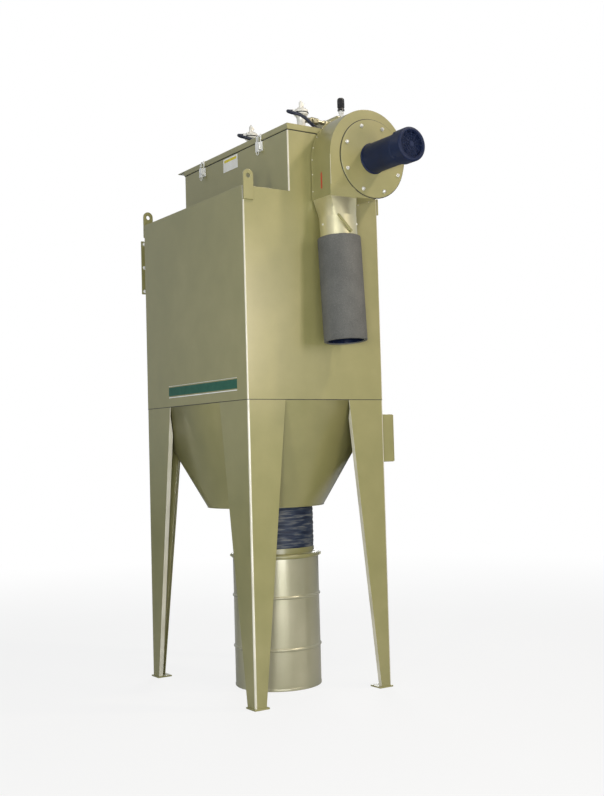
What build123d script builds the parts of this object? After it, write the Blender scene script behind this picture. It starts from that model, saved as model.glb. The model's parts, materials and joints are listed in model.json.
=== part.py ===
"""Pulse-jet dust collector on four tapered legs, with a blower, silencer and dust drum.

Millimetres, +Z up. The origin is on the floor, in the middle between the four legs.
The front face, which carries the blower, looks along -Y.
"""
from build123d import *
from math import cos, radians, sin, tan
import os

os.makedirs("parts", exist_ok=True)

# Cabinet and plenum
cabinet_width = 1040
cabinet_depth = 1365
cabinet_floor_z = 1870
cabinet_roof_z = 3185
plenum_top_z = 3575
plenum_inset = 340
plate = 5

# Lid with its gasket
gasket_height = 6
gasket_width = 30
lid_overhang = 4
lid_skirt = 38
lid_plate = 4
lid_lip_reach = 95
lid_lip_thickness = 5

# Legs and feet
leg_front_top = 275
leg_front_foot = 80
leg_side_top = 345
leg_side_foot = 92
leg_lip = 30
lip_gap = 1
foot_size = 105
foot_thickness = 10
foot_margin = 8
anchor_inset = 50
anchor_hole_r = 9

# Hopper, outlet and hose
hopper_band = 55
hopper_drop = 680
hopper_bottom_r = 395
hopper_folds = 48
hopper_centre_y = -30
hopper_rim_height = 40
outlet_plate = 6
outlet_x = 26
outlet_y = -95
outlet_collar_r = 254
outlet_collar_drop = 40
hose_wall = 5
fit_gap = 0.3

# Dust drum
drum_r = 287
drum_height = 872
drum_wall = 2.5
drum_hoop_z = (262, 598)
drum_hoop_rise = 7
drum_hoop_half = 16
drum_hoop_flat = 5
drum_floor_rise = 14
drum_floor_plate = 3
drum_lid_plate = 4
drum_collar_height = 66
drum_collar_foot = 36
drum_collar_wall = 3
clamp_outer_r = 300
clamp_height = 30
clamp_lug = 34

# Lifting lugs
lug_width = 72
lug_thickness = 12
lug_above = 100
lug_below = 86
lug_hole_r = 15
lug_hole_drop = 40

# Inlet in the back wall
inlet_width = 300
inlet_height = 300
inlet_inset = 208
inlet_drop = 289
inlet_stub = 80
inlet_flange_width = 384
inlet_flange_thickness = 8
inlet_bolt_spacing = 342
inlet_bolt_r = 6.5

# Control box on the front right leg
box_height = 314
box_width = 230
box_depth = 112
box_bottom_z = 1461
box_front_setback = 25
box_door = 12
box_door_margin = 8

# Blower
fan_mount_height = 315
fan_mount_drop = 10
fan_mount_plate = 8
fan_depth = 197
scroll_left_x = 0
scroll_above_plenum = 144
scroll_height = 579
scroll_left_r = 325
scroll_right_r = 275
scroll_low_r = 300
eye_offset = 331
eye_drop = 316
outlet_width = 196
fan_pocket = 70
cover_r = 252
cover_plate = 8
motor_r = 95
motor_length = 300
cowl_r = 107
cowl_length = 93
cowl_edge = 10

# Outlet transition, duct, damper and silencer
transition_height = 128
transition_folds = 48
duct_lean = 3.5
duct_stand_off = 132
duct_r = 118
duct_wall = 3
duct_length = 222
silencer_wall = 18.7
silencer_drop = 129
silencer_length = 660
damper_drop = 109
damper_blade_r = 106
damper_blade = 4
damper_shaft_r = 6
damper_shaft_gap = 0.5
damper_lever = 125
damper_lever_width = 18
damper_lever_plate = 5
damper_lever_gap = 8
damper_rest_angle = 46

# Valves, header and regulator on the lid
valve_x = 0
valve_setback = 103.5
valve_spacing = 618
valve_height = 200
valve_neck_r = 28
valve_base_r = 40
valve_base = 8
valve_cap_r = 46
valve_cap_z = 118
valve_cap = 40
valve_stem_r = 12
header_x = 270
header_size = 80
header_setback = 27.5
header_length = 960
header_lift = 36
header_foot = 60
header_foot_inset = 150
feed_pipe_r = 17
feed_pipe_z = 76
feed_nut_r = 27
feed_nut = 30
regulator_r = 24
regulator_height = 86
regulator_base_r = 18
regulator_base = 44
regulator_offset = 20
regulator_inset = 30
diaphragm_r = 50
diaphragm = 6
air_hose_r = 11
air_hose_sides = 8
air_hose_lift = 2
air_hose_exit_angle = 160
air_hose_exit_z = 16
air_hose_entry_z = 15
bend_share = 0.45

# Toggle latches
latch_setback = 322.5
latch_spacing = 760
latch_width = 60
latch_height = 74
latch_base = 4
latch_top_drop = 14
latch_lever_width = 36
latch_lever_depth = 28

# Places that follow from the sizes
half_w = cabinet_width / 2
half_d = cabinet_depth / 2
plenum_left = -half_w + plenum_inset
lid_base_z = plenum_top_z + gasket_height
lid_top_z = lid_base_z + lid_skirt
front_y = -half_d
lid_front_y = front_y - lid_overhang
lid_back_y = half_d + lid_overhang
lid_left = plenum_left - lid_overhang
lid_right = half_w + lid_overhang
hopper_bottom_z = cabinet_floor_z - hopper_drop
inlet_centre_x = -half_w + inlet_inset
inlet_centre_z = cabinet_roof_z - inlet_drop
fan_back_y = front_y - fan_mount_plate
fan_front_y = fan_back_y - fan_depth
scroll_top_z = plenum_top_z + scroll_above_plenum
scroll_foot_z = scroll_top_z - scroll_height
fan_x = scroll_left_x + eye_offset
fan_z = scroll_top_z - eye_drop
valve_y = (front_y + valve_setback, front_y + valve_setback + valve_spacing)
latch_y = (front_y + latch_setback, front_y + latch_setback + latch_spacing)
header_front_y = front_y + header_setback


# Cabinet end walls: one sheet each, stepped where the plenum rises from the shoulder.
def end_wall_outline():
    with BuildLine() as outline:
        Polyline(
            (-half_w, cabinet_floor_z),
            (half_w, cabinet_floor_z),
            (half_w, plenum_top_z),
            (plenum_left, plenum_top_z),
            (plenum_left, cabinet_roof_z),
            (-half_w, cabinet_roof_z),
            close=True,
        )
    return outline.line


with BuildPart() as front_wall:
    with BuildSketch(Plane.XZ.offset(half_d - plate)):
        with BuildLine():
            add(end_wall_outline())
        make_face()
    extrude(amount=plate)

with BuildPart() as back_wall:
    with BuildSketch(Plane.XZ.offset(-half_d)):
        with BuildLine():
            add(end_wall_outline())
        make_face()
        with Locations((inlet_centre_x, inlet_centre_z)):
            Rectangle(inlet_width, inlet_height, mode=Mode.SUBTRACT)
    extrude(amount=plate)

# Side walls, shoulder roof and the plenum's own side wall stand between the end walls.
inner_depth = cabinet_depth - 2 * plate

with BuildPart() as left_wall:
    with BuildSketch(Plane.YZ.offset(-half_w)):
        with Locations((0, (cabinet_floor_z + cabinet_roof_z) / 2)):
            Rectangle(inner_depth, cabinet_roof_z - cabinet_floor_z)
    extrude(amount=plate)

with BuildPart() as right_wall:
    with BuildSketch(Plane.YZ.offset(half_w - plate)):
        with Locations((0, (cabinet_floor_z + plenum_top_z) / 2)):
            Rectangle(inner_depth, plenum_top_z - cabinet_floor_z)
    extrude(amount=plate)

with BuildPart() as plenum_side_wall:
    with BuildSketch(Plane.YZ.offset(plenum_left)):
        with Locations((0, (cabinet_roof_z - plate + plenum_top_z) / 2)):
            Rectangle(inner_depth, plenum_top_z - cabinet_roof_z + plate)
    extrude(amount=plate)

with BuildPart() as shoulder_roof:
    with BuildSketch(Plane.XY.offset(cabinet_roof_z - plate)):
        with Locations(((-half_w + plate + plenum_left) / 2, 0)):
            Rectangle(plenum_inset - plate, inner_depth)
    extrude(amount=plate)

# Lid: a pan with a turned-down skirt on a rubber gasket, and a drip lip at its rear.
plenum_mid_x = (plenum_left + half_w) / 2
plenum_width = half_w - plenum_left

with BuildPart() as lid_gasket:
    with BuildSketch(Plane.XY.offset(plenum_top_z)):
        with Locations((plenum_mid_x, 0)):
            Rectangle(plenum_width, cabinet_depth)
            Rectangle(plenum_width - 2 * gasket_width, cabinet_depth - 2 * gasket_width, mode=Mode.SUBTRACT)
    extrude(amount=gasket_height)

with BuildPart() as lid:
    with BuildSketch(Plane.XY.offset(lid_base_z)):
        with Locations((plenum_mid_x, 0)):
            Rectangle(lid_right - lid_left, lid_back_y - lid_front_y)
            Rectangle(
                plenum_width - 2 * gasket_width,
                cabinet_depth - 2 * gasket_width,
                mode=Mode.SUBTRACT,
            )
    extrude(amount=lid_plate)
    with BuildSketch(Plane.XY.offset(lid_base_z)):
        with Locations((plenum_mid_x, 0)):
            Rectangle(lid_right - lid_left, lid_back_y - lid_front_y)
            Rectangle(
                lid_right - lid_left - 2 * lid_plate,
                lid_back_y - lid_front_y - 2 * lid_plate,
                mode=Mode.SUBTRACT,
            )
    extrude(amount=lid_skirt)
    with BuildSketch(Plane.XY.offset(lid_top_z - lid_plate)):
        with Locations((plenum_mid_x, 0)):
            Rectangle(lid_right - lid_left, lid_back_y - lid_front_y)
    extrude(amount=lid_plate)
    with BuildSketch(Plane.XY.offset(lid_top_z - lid_lip_thickness)):
        with Locations((plenum_mid_x, lid_back_y + lid_lip_reach / 2)):
            Rectangle(lid_right - lid_left, lid_lip_reach)
    extrude(amount=lid_lip_thickness)


# A transition from a rectangle to a round opening, folded from flat triangles and fanned corners.
def square_to_round(rectangle_corners, round_plane, round_r, folds):
    rim = []
    for step in range(folds):
        turn = radians(360 * step / folds)
        rim.append(round_plane.from_local_coords((round_r * cos(turn), round_r * sin(turn), 0)))
    return ConvexPolyhedron(rectangle_corners + rim, mode=Mode.PRIVATE)


# Hopper: a straight band under the cabinet floor, then flat sides that turn round at the bottom.
def hopper_body(skin):
    reach_x = half_w - plate - skin
    reach_y = half_d - plate - skin
    band_bottom_z = cabinet_floor_z - hopper_band
    corners = []
    for side_x, side_y in ((-1, -1), (1, -1), (1, 1), (-1, 1)):
        corners.append(Vector(side_x * reach_x, side_y * reach_y, band_bottom_z))
    bottom_plane = Plane((0, hopper_centre_y, hopper_bottom_z))
    with BuildPart() as piece:
        add(square_to_round(corners, bottom_plane, hopper_bottom_r - skin, hopper_folds))
        with BuildSketch(Plane.XY.offset(band_bottom_z)):
            Rectangle(2 * reach_x, 2 * reach_y)
        extrude(amount=hopper_band + hopper_rim_height)
    return piece.part


# Legs: tapered angles folded from plate, with a return lip down each inner edge.
# The lips are coped at the top to the slope of the hopper.
def leg(side_x, side_y):
    corner_x = side_x * half_w
    corner_y = side_y * half_d
    top = cabinet_floor_z
    foot = foot_thickness
    front_plane = Plane.XZ.offset(-corner_y)
    side_plane = Plane.YZ.offset(corner_x)
    with BuildPart() as lips:
        with BuildSketch(front_plane):
            with BuildLine():
                Polyline(
                    (corner_x - side_x * leg_front_top, top),
                    (corner_x - side_x * leg_front_foot, foot),
                    (corner_x - side_x * (leg_front_foot - plate), foot),
                    (corner_x - side_x * (leg_front_top - plate), top),
                    close=True,
                )
            make_face()
        extrude(amount=side_y * leg_lip)
        with BuildSketch(side_plane):
            with BuildLine():
                Polyline(
                    (corner_y - side_y * leg_side_top, top),
                    (corner_y - side_y * leg_side_foot, foot),
                    (corner_y - side_y * (leg_side_foot - plate), foot),
                    (corner_y - side_y * (leg_side_top - plate), top),
                    close=True,
                )
            make_face()
        extrude(amount=-side_x * leg_lip)
        add(hopper_body(-lip_gap), mode=Mode.SUBTRACT)
    with BuildPart() as piece:
        with BuildSketch(front_plane):
            with BuildLine():
                Polyline(
                    (corner_x, foot),
                    (corner_x, top),
                    (corner_x - side_x * leg_front_top, top),
                    (corner_x - side_x * leg_front_foot, foot),
                    close=True,
                )
            make_face()
        extrude(amount=side_y * plate)
        with BuildSketch(side_plane):
            with BuildLine():
                Polyline(
                    (corner_y, foot),
                    (corner_y, top),
                    (corner_y - side_y * leg_side_top, top),
                    (corner_y - side_y * leg_side_foot, foot),
                    close=True,
                )
            make_face()
        extrude(amount=-side_x * plate)
        add(lips.part)
    return piece.part


leg_corners = {
    "leg_front_left": (-1, -1),
    "leg_front_right": (1, -1),
    "leg_back_left": (-1, 1),
    "leg_back_right": (1, 1),
}
for leg_name, (side_x, side_y) in leg_corners.items():
    leg_part = leg(side_x, side_y)
    leg_part.label = leg_name
    export_step(leg_part, f"parts/{leg_name}.step")

# Foot plates: four square plates with one anchor hole each.
foot_centre_x = half_w + foot_margin - foot_size / 2
foot_centre_y = half_d + foot_margin - foot_size / 2

with BuildPart() as foot_plates:
    with GridLocations(2 * foot_centre_x, 2 * foot_centre_y, 2, 2):
        Box(foot_size, foot_size, foot_thickness, align=(Align.CENTER, Align.CENTER, Align.MIN))
    with Locations((0, 0, foot_thickness)):
        with GridLocations(cabinet_width - 2 * anchor_inset, cabinet_depth - 2 * anchor_inset, 2, 2):
            Hole(anchor_hole_r, depth=foot_thickness)


hopper_inside = hopper_body(plate)
with BuildPart() as hopper:
    add(hopper_body(0))
    add(hopper_inside, mode=Mode.SUBTRACT)

with BuildPart() as hopper_outlet:
    with BuildSketch(Plane.XY.offset(hopper_bottom_z - outlet_plate)):
        with Locations((0, hopper_centre_y)):
            Circle(hopper_bottom_r)
        with Locations((outlet_x, outlet_y)):
            Circle(outlet_collar_r - plate, mode=Mode.SUBTRACT)
    extrude(amount=outlet_plate)
    with BuildSketch(Plane.XY.offset(hopper_bottom_z - outlet_plate)):
        with Locations((outlet_x, outlet_y)):
            Circle(outlet_collar_r)
            Circle(outlet_collar_r - plate, mode=Mode.SUBTRACT)
    extrude(amount=-outlet_collar_drop)

# Drum: rolled body with two swaged hoops, a raised bottom, a lid with a collar and a clamp ring.
drum_axis = Plane(origin=(outlet_x, outlet_y, 0), x_dir=(1, 0, 0), z_dir=(0, -1, 0))
drum_skirt_r = drum_r - drum_wall

with BuildPart() as drum_body:
    with BuildSketch(drum_axis):
        with BuildLine():
            outer_profile = [(drum_skirt_r, 0), (drum_r, 0)]
            for hoop_z in drum_hoop_z:
                outer_profile.append((drum_r, hoop_z - drum_hoop_half))
                outer_profile.append((drum_r + drum_hoop_rise, hoop_z - drum_hoop_flat))
                outer_profile.append((drum_r + drum_hoop_rise, hoop_z + drum_hoop_flat))
                outer_profile.append((drum_r, hoop_z + drum_hoop_half))
            outer_profile.append((drum_r, drum_height))
            outer_profile.append((drum_skirt_r, drum_height))
            Polyline(*outer_profile, close=True)
        make_face()
    revolve(axis=Axis((outlet_x, outlet_y, 0), (0, 0, 1)))

with BuildPart() as drum_bottom:
    with BuildSketch(Plane.XY.offset(drum_floor_rise)):
        with Locations((outlet_x, outlet_y)):
            Circle(drum_skirt_r - fit_gap)
    extrude(amount=drum_floor_plate)

with BuildPart() as drum_lid:
    with BuildSketch(Plane.XY.offset(drum_height)):
        with Locations((outlet_x, outlet_y)):
            Circle(drum_r + drum_wall)
            Circle(outlet_collar_r - drum_collar_wall, mode=Mode.SUBTRACT)
    extrude(amount=drum_lid_plate)
    with BuildSketch(Plane.XY.offset(drum_height)):
        with Locations((outlet_x, outlet_y)):
            Circle(outlet_collar_r)
            Circle(outlet_collar_r - drum_collar_wall, mode=Mode.SUBTRACT)
    extrude(amount=drum_collar_height)
    with BuildSketch(Plane.XY.offset(drum_height)):
        with Locations((outlet_x, outlet_y)):
            Circle(outlet_collar_r + fit_gap + hose_wall)
            Circle(outlet_collar_r - drum_collar_wall, mode=Mode.SUBTRACT)
    extrude(amount=drum_lid_plate + drum_collar_foot)

with BuildPart() as drum_clamp_ring:
    with BuildSketch(Plane.XY.offset(drum_height + drum_lid_plate - clamp_height)):
        with Locations((outlet_x, outlet_y)):
            Circle(clamp_outer_r)
            Circle(drum_r + drum_wall + fit_gap, mode=Mode.SUBTRACT)
    extrude(amount=clamp_height)
    with BuildSketch(Plane.XY.offset(drum_height + drum_lid_plate - clamp_height)):
        with Locations((outlet_x - clamp_outer_r, outlet_y)):
            Rectangle(clamp_lug / 2, clamp_lug)
    extrude(amount=clamp_height)

with BuildPart() as discharge_hose:
    hose_bottom_z = drum_height + drum_lid_plate + drum_collar_foot
    with BuildSketch(Plane.XY.offset(hose_bottom_z)):
        with Locations((outlet_x, outlet_y)):
            Circle(outlet_collar_r + fit_gap + hose_wall)
            Circle(outlet_collar_r + fit_gap, mode=Mode.SUBTRACT)
    extrude(amount=hopper_bottom_z - outlet_plate - hose_bottom_z)


# Lifting lugs: round-headed plates welded to the corners.
def lug_outline():
    with BuildSketch() as outline:
        with BuildLine():
            Polyline((-lug_width / 2, lug_above - lug_width / 2), (-lug_width / 2, -lug_below),
                     (lug_width / 2, -lug_below), (lug_width / 2, lug_above - lug_width / 2))
            RadiusArc(
                (-lug_width / 2, lug_above - lug_width / 2),
                (lug_width / 2, lug_above - lug_width / 2),
                lug_width / 2,
            )
        make_face()
        with Locations((0, lug_above - lug_hole_drop)):
            Circle(lug_hole_r, mode=Mode.SUBTRACT)
    return outline.sketch


def lug_plane(x, y, outward):
    along = Vector(0, 0, 1).cross(outward)
    return Plane(origin=(x, y, cabinet_roof_z), x_dir=along, z_dir=outward)


lug_planes = (
    lug_plane(-half_w + lug_width / 2, -half_d, Vector(0, -1, 0)),
    lug_plane(-half_w + lug_width / 2, half_d, Vector(0, 1, 0)),
    lug_plane(half_w - lug_width / 2, half_d, Vector(0, 1, 0)),
    lug_plane(half_w, -half_d + lug_width / 2, Vector(1, 0, 0)),
)
with BuildPart() as lifting_lugs:
    for plane in lug_planes:
        with BuildSketch(plane):
            add(lug_outline())
        extrude(amount=lug_thickness)

# Inlet: a short rectangular stub with a bolted flange on the back wall.
with BuildPart() as inlet_flange:
    with BuildSketch(Plane.XZ.offset(-half_d)):
        with Locations((inlet_centre_x, inlet_centre_z)):
            Rectangle(inlet_width + 2 * plate, inlet_height + 2 * plate)
            Rectangle(inlet_width, inlet_height, mode=Mode.SUBTRACT)
    extrude(amount=-inlet_stub)
    with BuildSketch(Plane.XZ.offset(-half_d - inlet_stub)):
        with Locations((inlet_centre_x, inlet_centre_z)):
            Rectangle(inlet_flange_width, inlet_flange_width)
            Rectangle(inlet_width, inlet_height, mode=Mode.SUBTRACT)
            with GridLocations(inlet_bolt_spacing, inlet_bolt_spacing, 2, 2):
                Circle(inlet_bolt_r, mode=Mode.SUBTRACT)
    extrude(amount=-inlet_flange_thickness)

# Control box on the outside of the front right leg, with a raised door.
box_centre_y = front_y + box_front_setback + box_width / 2
box_centre_z = box_bottom_z + box_height / 2

with BuildPart() as control_box:
    with BuildSketch(Plane.YZ.offset(half_w)):
        with Locations((box_centre_y, box_centre_z)):
            Rectangle(box_width, box_height)
    extrude(amount=box_depth - box_door)

with BuildPart() as control_box_door:
    with BuildSketch(Plane.YZ.offset(half_w + box_depth - box_door)):
        with Locations((box_centre_y, box_centre_z)):
            Rectangle(box_width - box_door_margin, box_height - box_door_margin)
    extrude(amount=box_door)
    fillet(control_box_door.faces().sort_by(Axis.X)[-1].edges(), radius=box_door / 3)

# Fan mount: a flat plate between the plenum front and the blower.
with BuildPart() as fan_mount:
    with BuildSketch(Plane.XZ.offset(half_d)):
        with Locations((fan_x, plenum_top_z - fan_mount_drop - fan_mount_height / 2)):
            Rectangle(2 * (half_w - fan_x), fan_mount_height)
    extrude(amount=fan_mount_plate)

# Fan housing: the scroll is drawn with three arcs that tighten towards the cut-off.
arc_a_x = scroll_left_x + scroll_left_r
arc_a_z = scroll_top_z - scroll_left_r
arc_b_z = scroll_top_z - scroll_right_r
arc_c_x = arc_a_x + scroll_right_r - scroll_low_r
outlet_right_x = scroll_left_x + outlet_width
outlet_mid_x = scroll_left_x + outlet_width / 2
outlet_mid_y = fan_back_y - fan_depth / 2

with BuildPart() as fan_housing:
    with BuildSketch(Plane.XZ.offset(-fan_back_y)):
        with BuildLine():
            Polyline((outlet_right_x, scroll_foot_z), (scroll_left_x, scroll_foot_z), (scroll_left_x, arc_a_z))
            CenterArc((arc_a_x, arc_a_z), scroll_left_r, 180, -90)
            CenterArc((arc_a_x, arc_b_z), scroll_right_r, 90, -90)
            CenterArc((arc_c_x, arc_b_z), scroll_low_r, 0, -90)
            Line((arc_c_x, arc_b_z - scroll_low_r), (outlet_right_x, scroll_foot_z))
        make_face()
    extrude(amount=fan_depth)
    with BuildSketch(Plane.XY.offset(scroll_foot_z)):
        with Locations((outlet_mid_x, outlet_mid_y)):
            Rectangle(outlet_width - 2 * duct_wall, fan_depth - 2 * duct_wall)
    extrude(amount=fan_pocket, mode=Mode.SUBTRACT)

with BuildPart() as fan_cover:
    with BuildSketch(Plane.XZ.offset(-fan_front_y)):
        with Locations((fan_x, fan_z)):
            Circle(cover_r)
    extrude(amount=cover_plate)

motor_back_y = fan_front_y - cover_plate
with BuildPart() as motor_body:
    with BuildSketch(Plane.XZ.offset(-motor_back_y)):
        with Locations((fan_x, fan_z)):
            Circle(motor_r)
    extrude(amount=motor_length)

with BuildPart() as motor_cowl:
    with BuildSketch(Plane.XZ.offset(-motor_back_y + motor_length)):
        with Locations((fan_x, fan_z)):
            Circle(cowl_r)
    extrude(amount=cowl_length)
    chamfer(motor_cowl.edges().filter_by(GeomType.CIRCLE).sort_by(Axis.Y)[0], length=cowl_edge)

# The duct hangs from the blower and leans a little away from the wall.
duct_top = Vector(outlet_mid_x, front_y - duct_stand_off, scroll_foot_z - transition_height)
down_duct = Vector(0, -sin(radians(duct_lean)), -cos(radians(duct_lean)))
out_of_duct = Vector(0, -cos(radians(duct_lean)), sin(radians(duct_lean)))


def duct_plane(distance):
    return Plane(origin=duct_top + down_duct * distance, x_dir=(1, 0, 0), z_dir=down_duct)


# Transition from the rectangular blower outlet to the round duct.
def transition_body(skin):
    reach_x = outlet_width / 2 - skin
    reach_y = fan_depth / 2 - skin
    corners = []
    for side_x, side_y in ((-1, -1), (1, -1), (1, 1), (-1, 1)):
        corner_x = outlet_mid_x + side_x * reach_x
        corner_y = outlet_mid_y + side_y * reach_y
        corners.append(Vector(corner_x, corner_y, scroll_foot_z))
    return square_to_round(corners, duct_plane(0), duct_r - skin, transition_folds)


transition_inside = transition_body(duct_wall)
with BuildPart() as outlet_transition:
    add(transition_body(0))
    add(transition_inside, mode=Mode.SUBTRACT)

damper_centre = duct_top + down_duct * damper_drop

with BuildPart() as outlet_duct:
    with BuildSketch(duct_plane(0)):
        Circle(duct_r)
        Circle(duct_r - duct_wall, mode=Mode.SUBTRACT)
    extrude(amount=duct_length)
    with BuildSketch(Plane(origin=damper_centre, x_dir=(1, 0, 0), z_dir=out_of_duct)):
        Circle(damper_shaft_r + damper_shaft_gap)
    extrude(amount=2 * duct_r, both=True, mode=Mode.SUBTRACT)

with BuildPart() as silencer:
    with BuildSketch(duct_plane(silencer_drop)):
        Circle(duct_r + fit_gap + silencer_wall)
        Circle(duct_r + fit_gap, mode=Mode.SUBTRACT)
    extrude(amount=silencer_length)

# Damper: a round blade on a shaft, turned by the lever outside the duct.
lever_angle = radians(damper_rest_angle)
lever_along = Vector(-1, 0, 0) * cos(lever_angle) - down_duct * sin(lever_angle)
lever_reach = duct_r + damper_lever_gap
shaft_back = damper_centre - out_of_duct * lever_reach

with BuildPart() as damper:
    with BuildSketch(Plane(origin=shaft_back, x_dir=(1, 0, 0), z_dir=out_of_duct)):
        Circle(damper_shaft_r)
    extrude(amount=2 * lever_reach + damper_lever_plate)
    with BuildSketch(Plane(origin=damper_centre, x_dir=lever_along, z_dir=lever_along.cross(out_of_duct))):
        Circle(damper_blade_r)
    extrude(amount=damper_blade / 2, both=True)
    lever_foot = damper_centre + out_of_duct * lever_reach
    with BuildSketch(Plane(origin=lever_foot, x_dir=lever_along, z_dir=out_of_duct)):
        with Locations((damper_lever / 2, 0)):
            SlotCenterToCenter(damper_lever, damper_lever_width)
    extrude(amount=damper_lever_plate)


# Pulse valves: a base flange, a neck, a bolted diaphragm cap and a pilot stem.
def pulse_valve(y):
    with BuildPart() as piece:
        with Locations((valve_x, y, lid_top_z)):
            Cylinder(valve_base_r, valve_base, align=(Align.CENTER, Align.CENTER, Align.MIN))
            Cylinder(valve_neck_r, valve_cap_z, align=(Align.CENTER, Align.CENTER, Align.MIN))
            Cylinder(valve_stem_r, valve_height, align=(Align.CENTER, Align.CENTER, Align.MIN))
        with Locations((valve_x, y, lid_top_z + valve_cap_z)):
            Cylinder(valve_cap_r, valve_cap, align=(Align.CENTER, Align.CENTER, Align.MIN))
        chamfer(piece.edges().filter_by(GeomType.CIRCLE).group_by(Axis.Z)[-2], length=valve_cap / 4)
    return piece.part


for index, y in enumerate(valve_y, start=1):
    valve_part = pulse_valve(y)
    valve_part.label = f"pulse_valve_{index}"
    export_step(valve_part, f"parts/pulse_valve_{index}.step")

# Air header: a square tank on two saddles along the lid.
header_mid_y = header_front_y + header_length / 2
header_bottom_z = lid_top_z + header_lift

with BuildPart() as air_header:
    with Locations((header_x, header_mid_y, header_bottom_z)):
        Box(header_size, header_length, header_size, align=(Align.CENTER, Align.CENTER, Align.MIN))
    with Locations((header_x, header_mid_y, lid_top_z)):
        with GridLocations(0, header_length - 2 * header_foot_inset, 1, 2):
            Box(header_size, header_foot, header_lift, align=(Align.CENTER, Align.CENTER, Align.MIN))

with BuildPart() as diaphragms:
    for y in valve_y:
        with BuildSketch(Plane.XY.offset(lid_top_z + valve_cap_z - diaphragm)):
            with Locations((valve_x, y)):
                Circle(diaphragm_r)
                Circle(valve_neck_r + fit_gap, mode=Mode.SUBTRACT)
        extrude(amount=diaphragm)


# Air hoses: each leaves the side of a valve cap, loops round the front of the neck, runs down
# to the lid and enters the side of the header.
def air_hose_route(y):
    along_z = lid_top_z + air_hose_r + air_hose_lift
    exit_z = lid_top_z + valve_cap_z + air_hose_exit_z
    entry_z = lid_top_z + header_lift + air_hose_entry_z
    header_side = header_x - header_size / 2
    out_x = cos(radians(air_hose_exit_angle))
    out_y = sin(radians(air_hose_exit_angle))
    return [
        Vector(valve_x + valve_cap_r * out_x, y + valve_cap_r * out_y, exit_z),
        Vector(valve_x + 82 * out_x, y + 82 * out_y, exit_z),
        Vector(valve_x - 97, y + 5, exit_z - 13),
        Vector(valve_x - 88, y - 35, exit_z - 37),
        Vector(valve_x - 55, y - 66, exit_z - 60),
        Vector(valve_x, y - 79, exit_z - 90),
        Vector(valve_x + 50, y - 70, along_z + 10),
        Vector(valve_x + 100, y - 52, along_z),
        Vector(header_side - 72, y - 36, along_z + 8),
        Vector(header_side - 27, y - 28, entry_z),
        Vector(header_side, y - 28, entry_z),
    ]


# The bend at each inner point is as large as its two runs allow.
def bend_radii(route):
    radii = []
    for before, point, after in zip(route, route[1:], route[2:]):
        arriving = point - before
        leaving = after - point
        half_turn = radians(arriving.get_angle(leaving)) / 2
        shorter = min(arriving.length, leaving.length)
        radii.append(bend_share * shorter / tan(half_turn))
    return radii


def air_hose(y):
    route = air_hose_route(y)
    radii = bend_radii(route)
    print("air hose bends", [round(radius) for radius in radii])
    with BuildPart() as piece:
        with BuildLine() as path:
            FilletPolyline(*route, radius=radii)
        with BuildSketch(Plane(origin=route[0], z_dir=route[1] - route[0])) as section:
            RegularPolygon(air_hose_r, air_hose_sides)
        sweep(path=path.line)
    length = sum(edge.length for edge in path.edges())
    print("air hose volume", round(piece.part.volume), "section by length", round(length * section.sketch.area))
    return piece.part


for index, y in enumerate(valve_y, start=1):
    hose_part = air_hose(y)
    hose_part.label = f"air_hose_{index}"
    export_step(hose_part, f"parts/air_hose_{index}.step")

with BuildPart() as feed_pipes:
    pipe_start = valve_x + valve_neck_r
    pipe_end = header_x - header_size / 2
    for y in valve_y:
        with BuildSketch(Plane(origin=(pipe_start, y, lid_top_z + feed_pipe_z), z_dir=(1, 0, 0))):
            Circle(feed_pipe_r)
        extrude(amount=pipe_end - pipe_start)
        nut_x = (pipe_start + pipe_end) / 2
        with BuildSketch(Plane(origin=(nut_x, y, lid_top_z + feed_pipe_z), z_dir=(1, 0, 0))):
            RegularPolygon(feed_nut_r, 6)
        extrude(amount=feed_nut / 2, both=True)

with BuildPart() as regulator:
    regulator_x = header_x + regulator_offset
    regulator_y = header_front_y + regulator_inset
    with Locations((regulator_x, regulator_y, header_bottom_z + header_size)):
        Cylinder(regulator_base_r, regulator_base, align=(Align.CENTER, Align.CENTER, Align.MIN))
    with Locations((regulator_x, regulator_y, header_bottom_z + header_size + regulator_base)):
        Cylinder(regulator_r, regulator_height, align=(Align.CENTER, Align.CENTER, Align.MIN))

# Toggle latches: a base on the wall, a lever and a hook over the lid skirt.
with BuildPart() as toggle_latches:
    for y in latch_y:
        with Locations((plenum_left, y, plenum_top_z - latch_top_drop)):
            Box(latch_base, latch_width, latch_height, align=(Align.MAX, Align.CENTER, Align.MAX))
            Box(
                latch_lever_depth,
                latch_lever_width,
                latch_height - 2 * latch_top_drop,
                align=(Align.MAX, Align.CENTER, Align.MAX),
            )
        with Locations((lid_left - fit_gap, y, plenum_top_z - 2 * latch_top_drop)):
            Box(
                latch_lever_depth - lid_overhang,
                latch_lever_width,
                lid_base_z + lid_skirt / 2 - plenum_top_z + 2 * latch_top_drop,
                align=(Align.MAX, Align.CENTER, Align.MIN),
            )

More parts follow.
